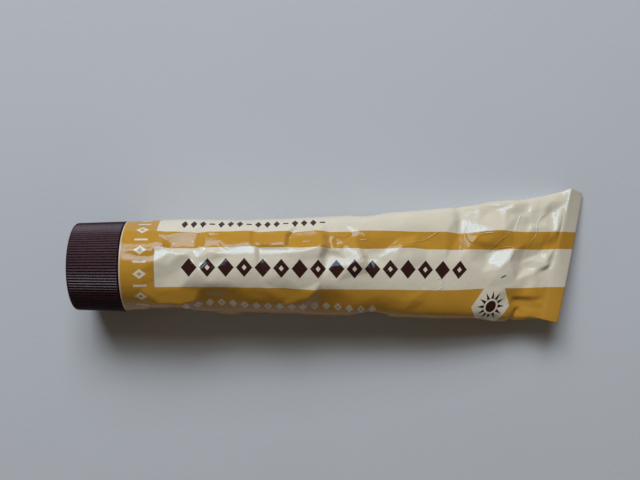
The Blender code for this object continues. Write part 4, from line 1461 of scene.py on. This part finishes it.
def table_finish():
    """Plain pale table top, faintly mottled."""
    finish = Finish("pale_table")
    mottled = finish.noise(scale=14.0, detail=4.0)
    fine = finish.noise(scale=700.0, detail=3.0)
    return finish.surface({
        "Base Color": finish.tinted(PALE_TABLE, 0.955 + mottled * 0.06 + fine * 0.03),
        "Roughness": 0.75 + fine * 0.1,
        "Normal": finish.bump(fine, distance=0.00004),
        "Specular IOR Level": 0.25,
    })


# Room, light and camera

def make_table():
    """A wide plain table top under the tube."""
    bpy.ops.object.select_all(action="DESELECT")
    bpy.ops.mesh.primitive_plane_add(size=TABLE_WIDTH, location=(0.0, 0.0, 0.0))
    table = bpy.context.object
    table.name = "table_top"
    table.data.materials.append(table_finish())


def make_lamp(name, width, height, radiance):
    """A soft rectangle of light over towards +Y and a little to the left."""
    towards = Vector(towards_window())
    target = ORIGIN + Vector((CAMERA_ALONG, 0.0, 0.0))
    lamp = bpy.data.lights.new(name, "AREA")
    lamp.shape = "RECTANGLE"
    lamp.size = width
    lamp.size_y = height
    lamp.energy = math.pi * width * height * radiance
    lamp.color = WINDOW_COLOUR
    window = bpy.data.objects.new(name, lamp)
    window.location = target + towards * WINDOW_DISTANCE
    window.rotation_euler = (-towards).to_track_quat("-Z", "Y").to_euler()
    bpy.context.scene.collection.objects.link(window)


def make_room():
    """A dim warm room, darker in mirrored rays, which the camera itself sees as a pale backdrop."""
    world = bpy.data.worlds.new("room")
    bpy.context.scene.world = world
    room = NodeTree(world)
    rays = room.node("ShaderNodeLightPath", {}, {})
    colours = (ROOM_COLOUR, MIRRORED_ROOM_COLOUR, BACKDROP_COLOUR)
    plain, mirrored, backdrop = [
        room.signal(room.node("ShaderNodeBackground", {}, {"Color": (*colour, 1.0)})) for colour in colours]
    values = {0: room.signal(rays, "Is Glossy Ray"), 1: plain, 2: mirrored}
    lit = room.signal(room.node("ShaderNodeMixShader", {}, values))
    values = {0: room.signal(rays, "Is Camera Ray"), 1: lit, 2: backdrop}
    seen = room.signal(room.node("ShaderNodeMixShader", {}, values))
    room.node("ShaderNodeOutputWorld", {}, {"Surface": seen})


def make_camera():
    """Looks straight down, as the photograph was taken."""
    lens = bpy.data.cameras.new("camera")
    lens.sensor_width = SENSOR_WIDTH_MM
    lens.lens = FOCAL_PX * SENSOR_WIDTH_MM / IMAGE_WIDTH_PX
    lens.clip_start = CAMERA_NEAREST
    camera = bpy.data.objects.new("camera", lens)
    camera.location = CAMERA_PLACE
    bpy.context.scene.collection.objects.link(camera)
    bpy.context.scene.camera = camera


def make_scene():
    """Builds every piece on the frame, and the room round it."""
    stations, points, outward = sleeve_lattice()
    creased = creased_foil(stations, points, outward)
    aluminium = bare_aluminium_finish()
    sleeve = make_sleeve(stations, creased, outward)
    lacquer = printed_sleeve_finish(points, outward)
    dress(sleeve, "tube_body", "tube", [lacquer, aluminium])
    nozzle = make_nozzle()
    dress(nozzle, "", "tube", [aluminium])
    cream = make_cream(stations, creased, outward)
    dress(cream, "cream", "tube", [cream_finish()])
    cap = make_cap()
    dress(cap, "cap", "cap", [brown_moulding_finish()])
    liner = make_liner()
    dress(liner, "cap_liner", "liner", [liner_finish()])
    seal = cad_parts["end_seal"]
    seal.data.materials.clear()
    seal.data.materials.append(sealing_finish())
    make_table()
    make_lamp("window_glow", WINDOW_WIDTH, WINDOW_HEIGHT, WINDOW_RADIANCE)
    make_lamp("window_pane", PANE_WIDTH, PANE_HEIGHT, PANE_RADIANCE)
    make_room()
    make_camera()
    bpy.context.scene.view_settings.view_transform = "Standard"


make_scene()
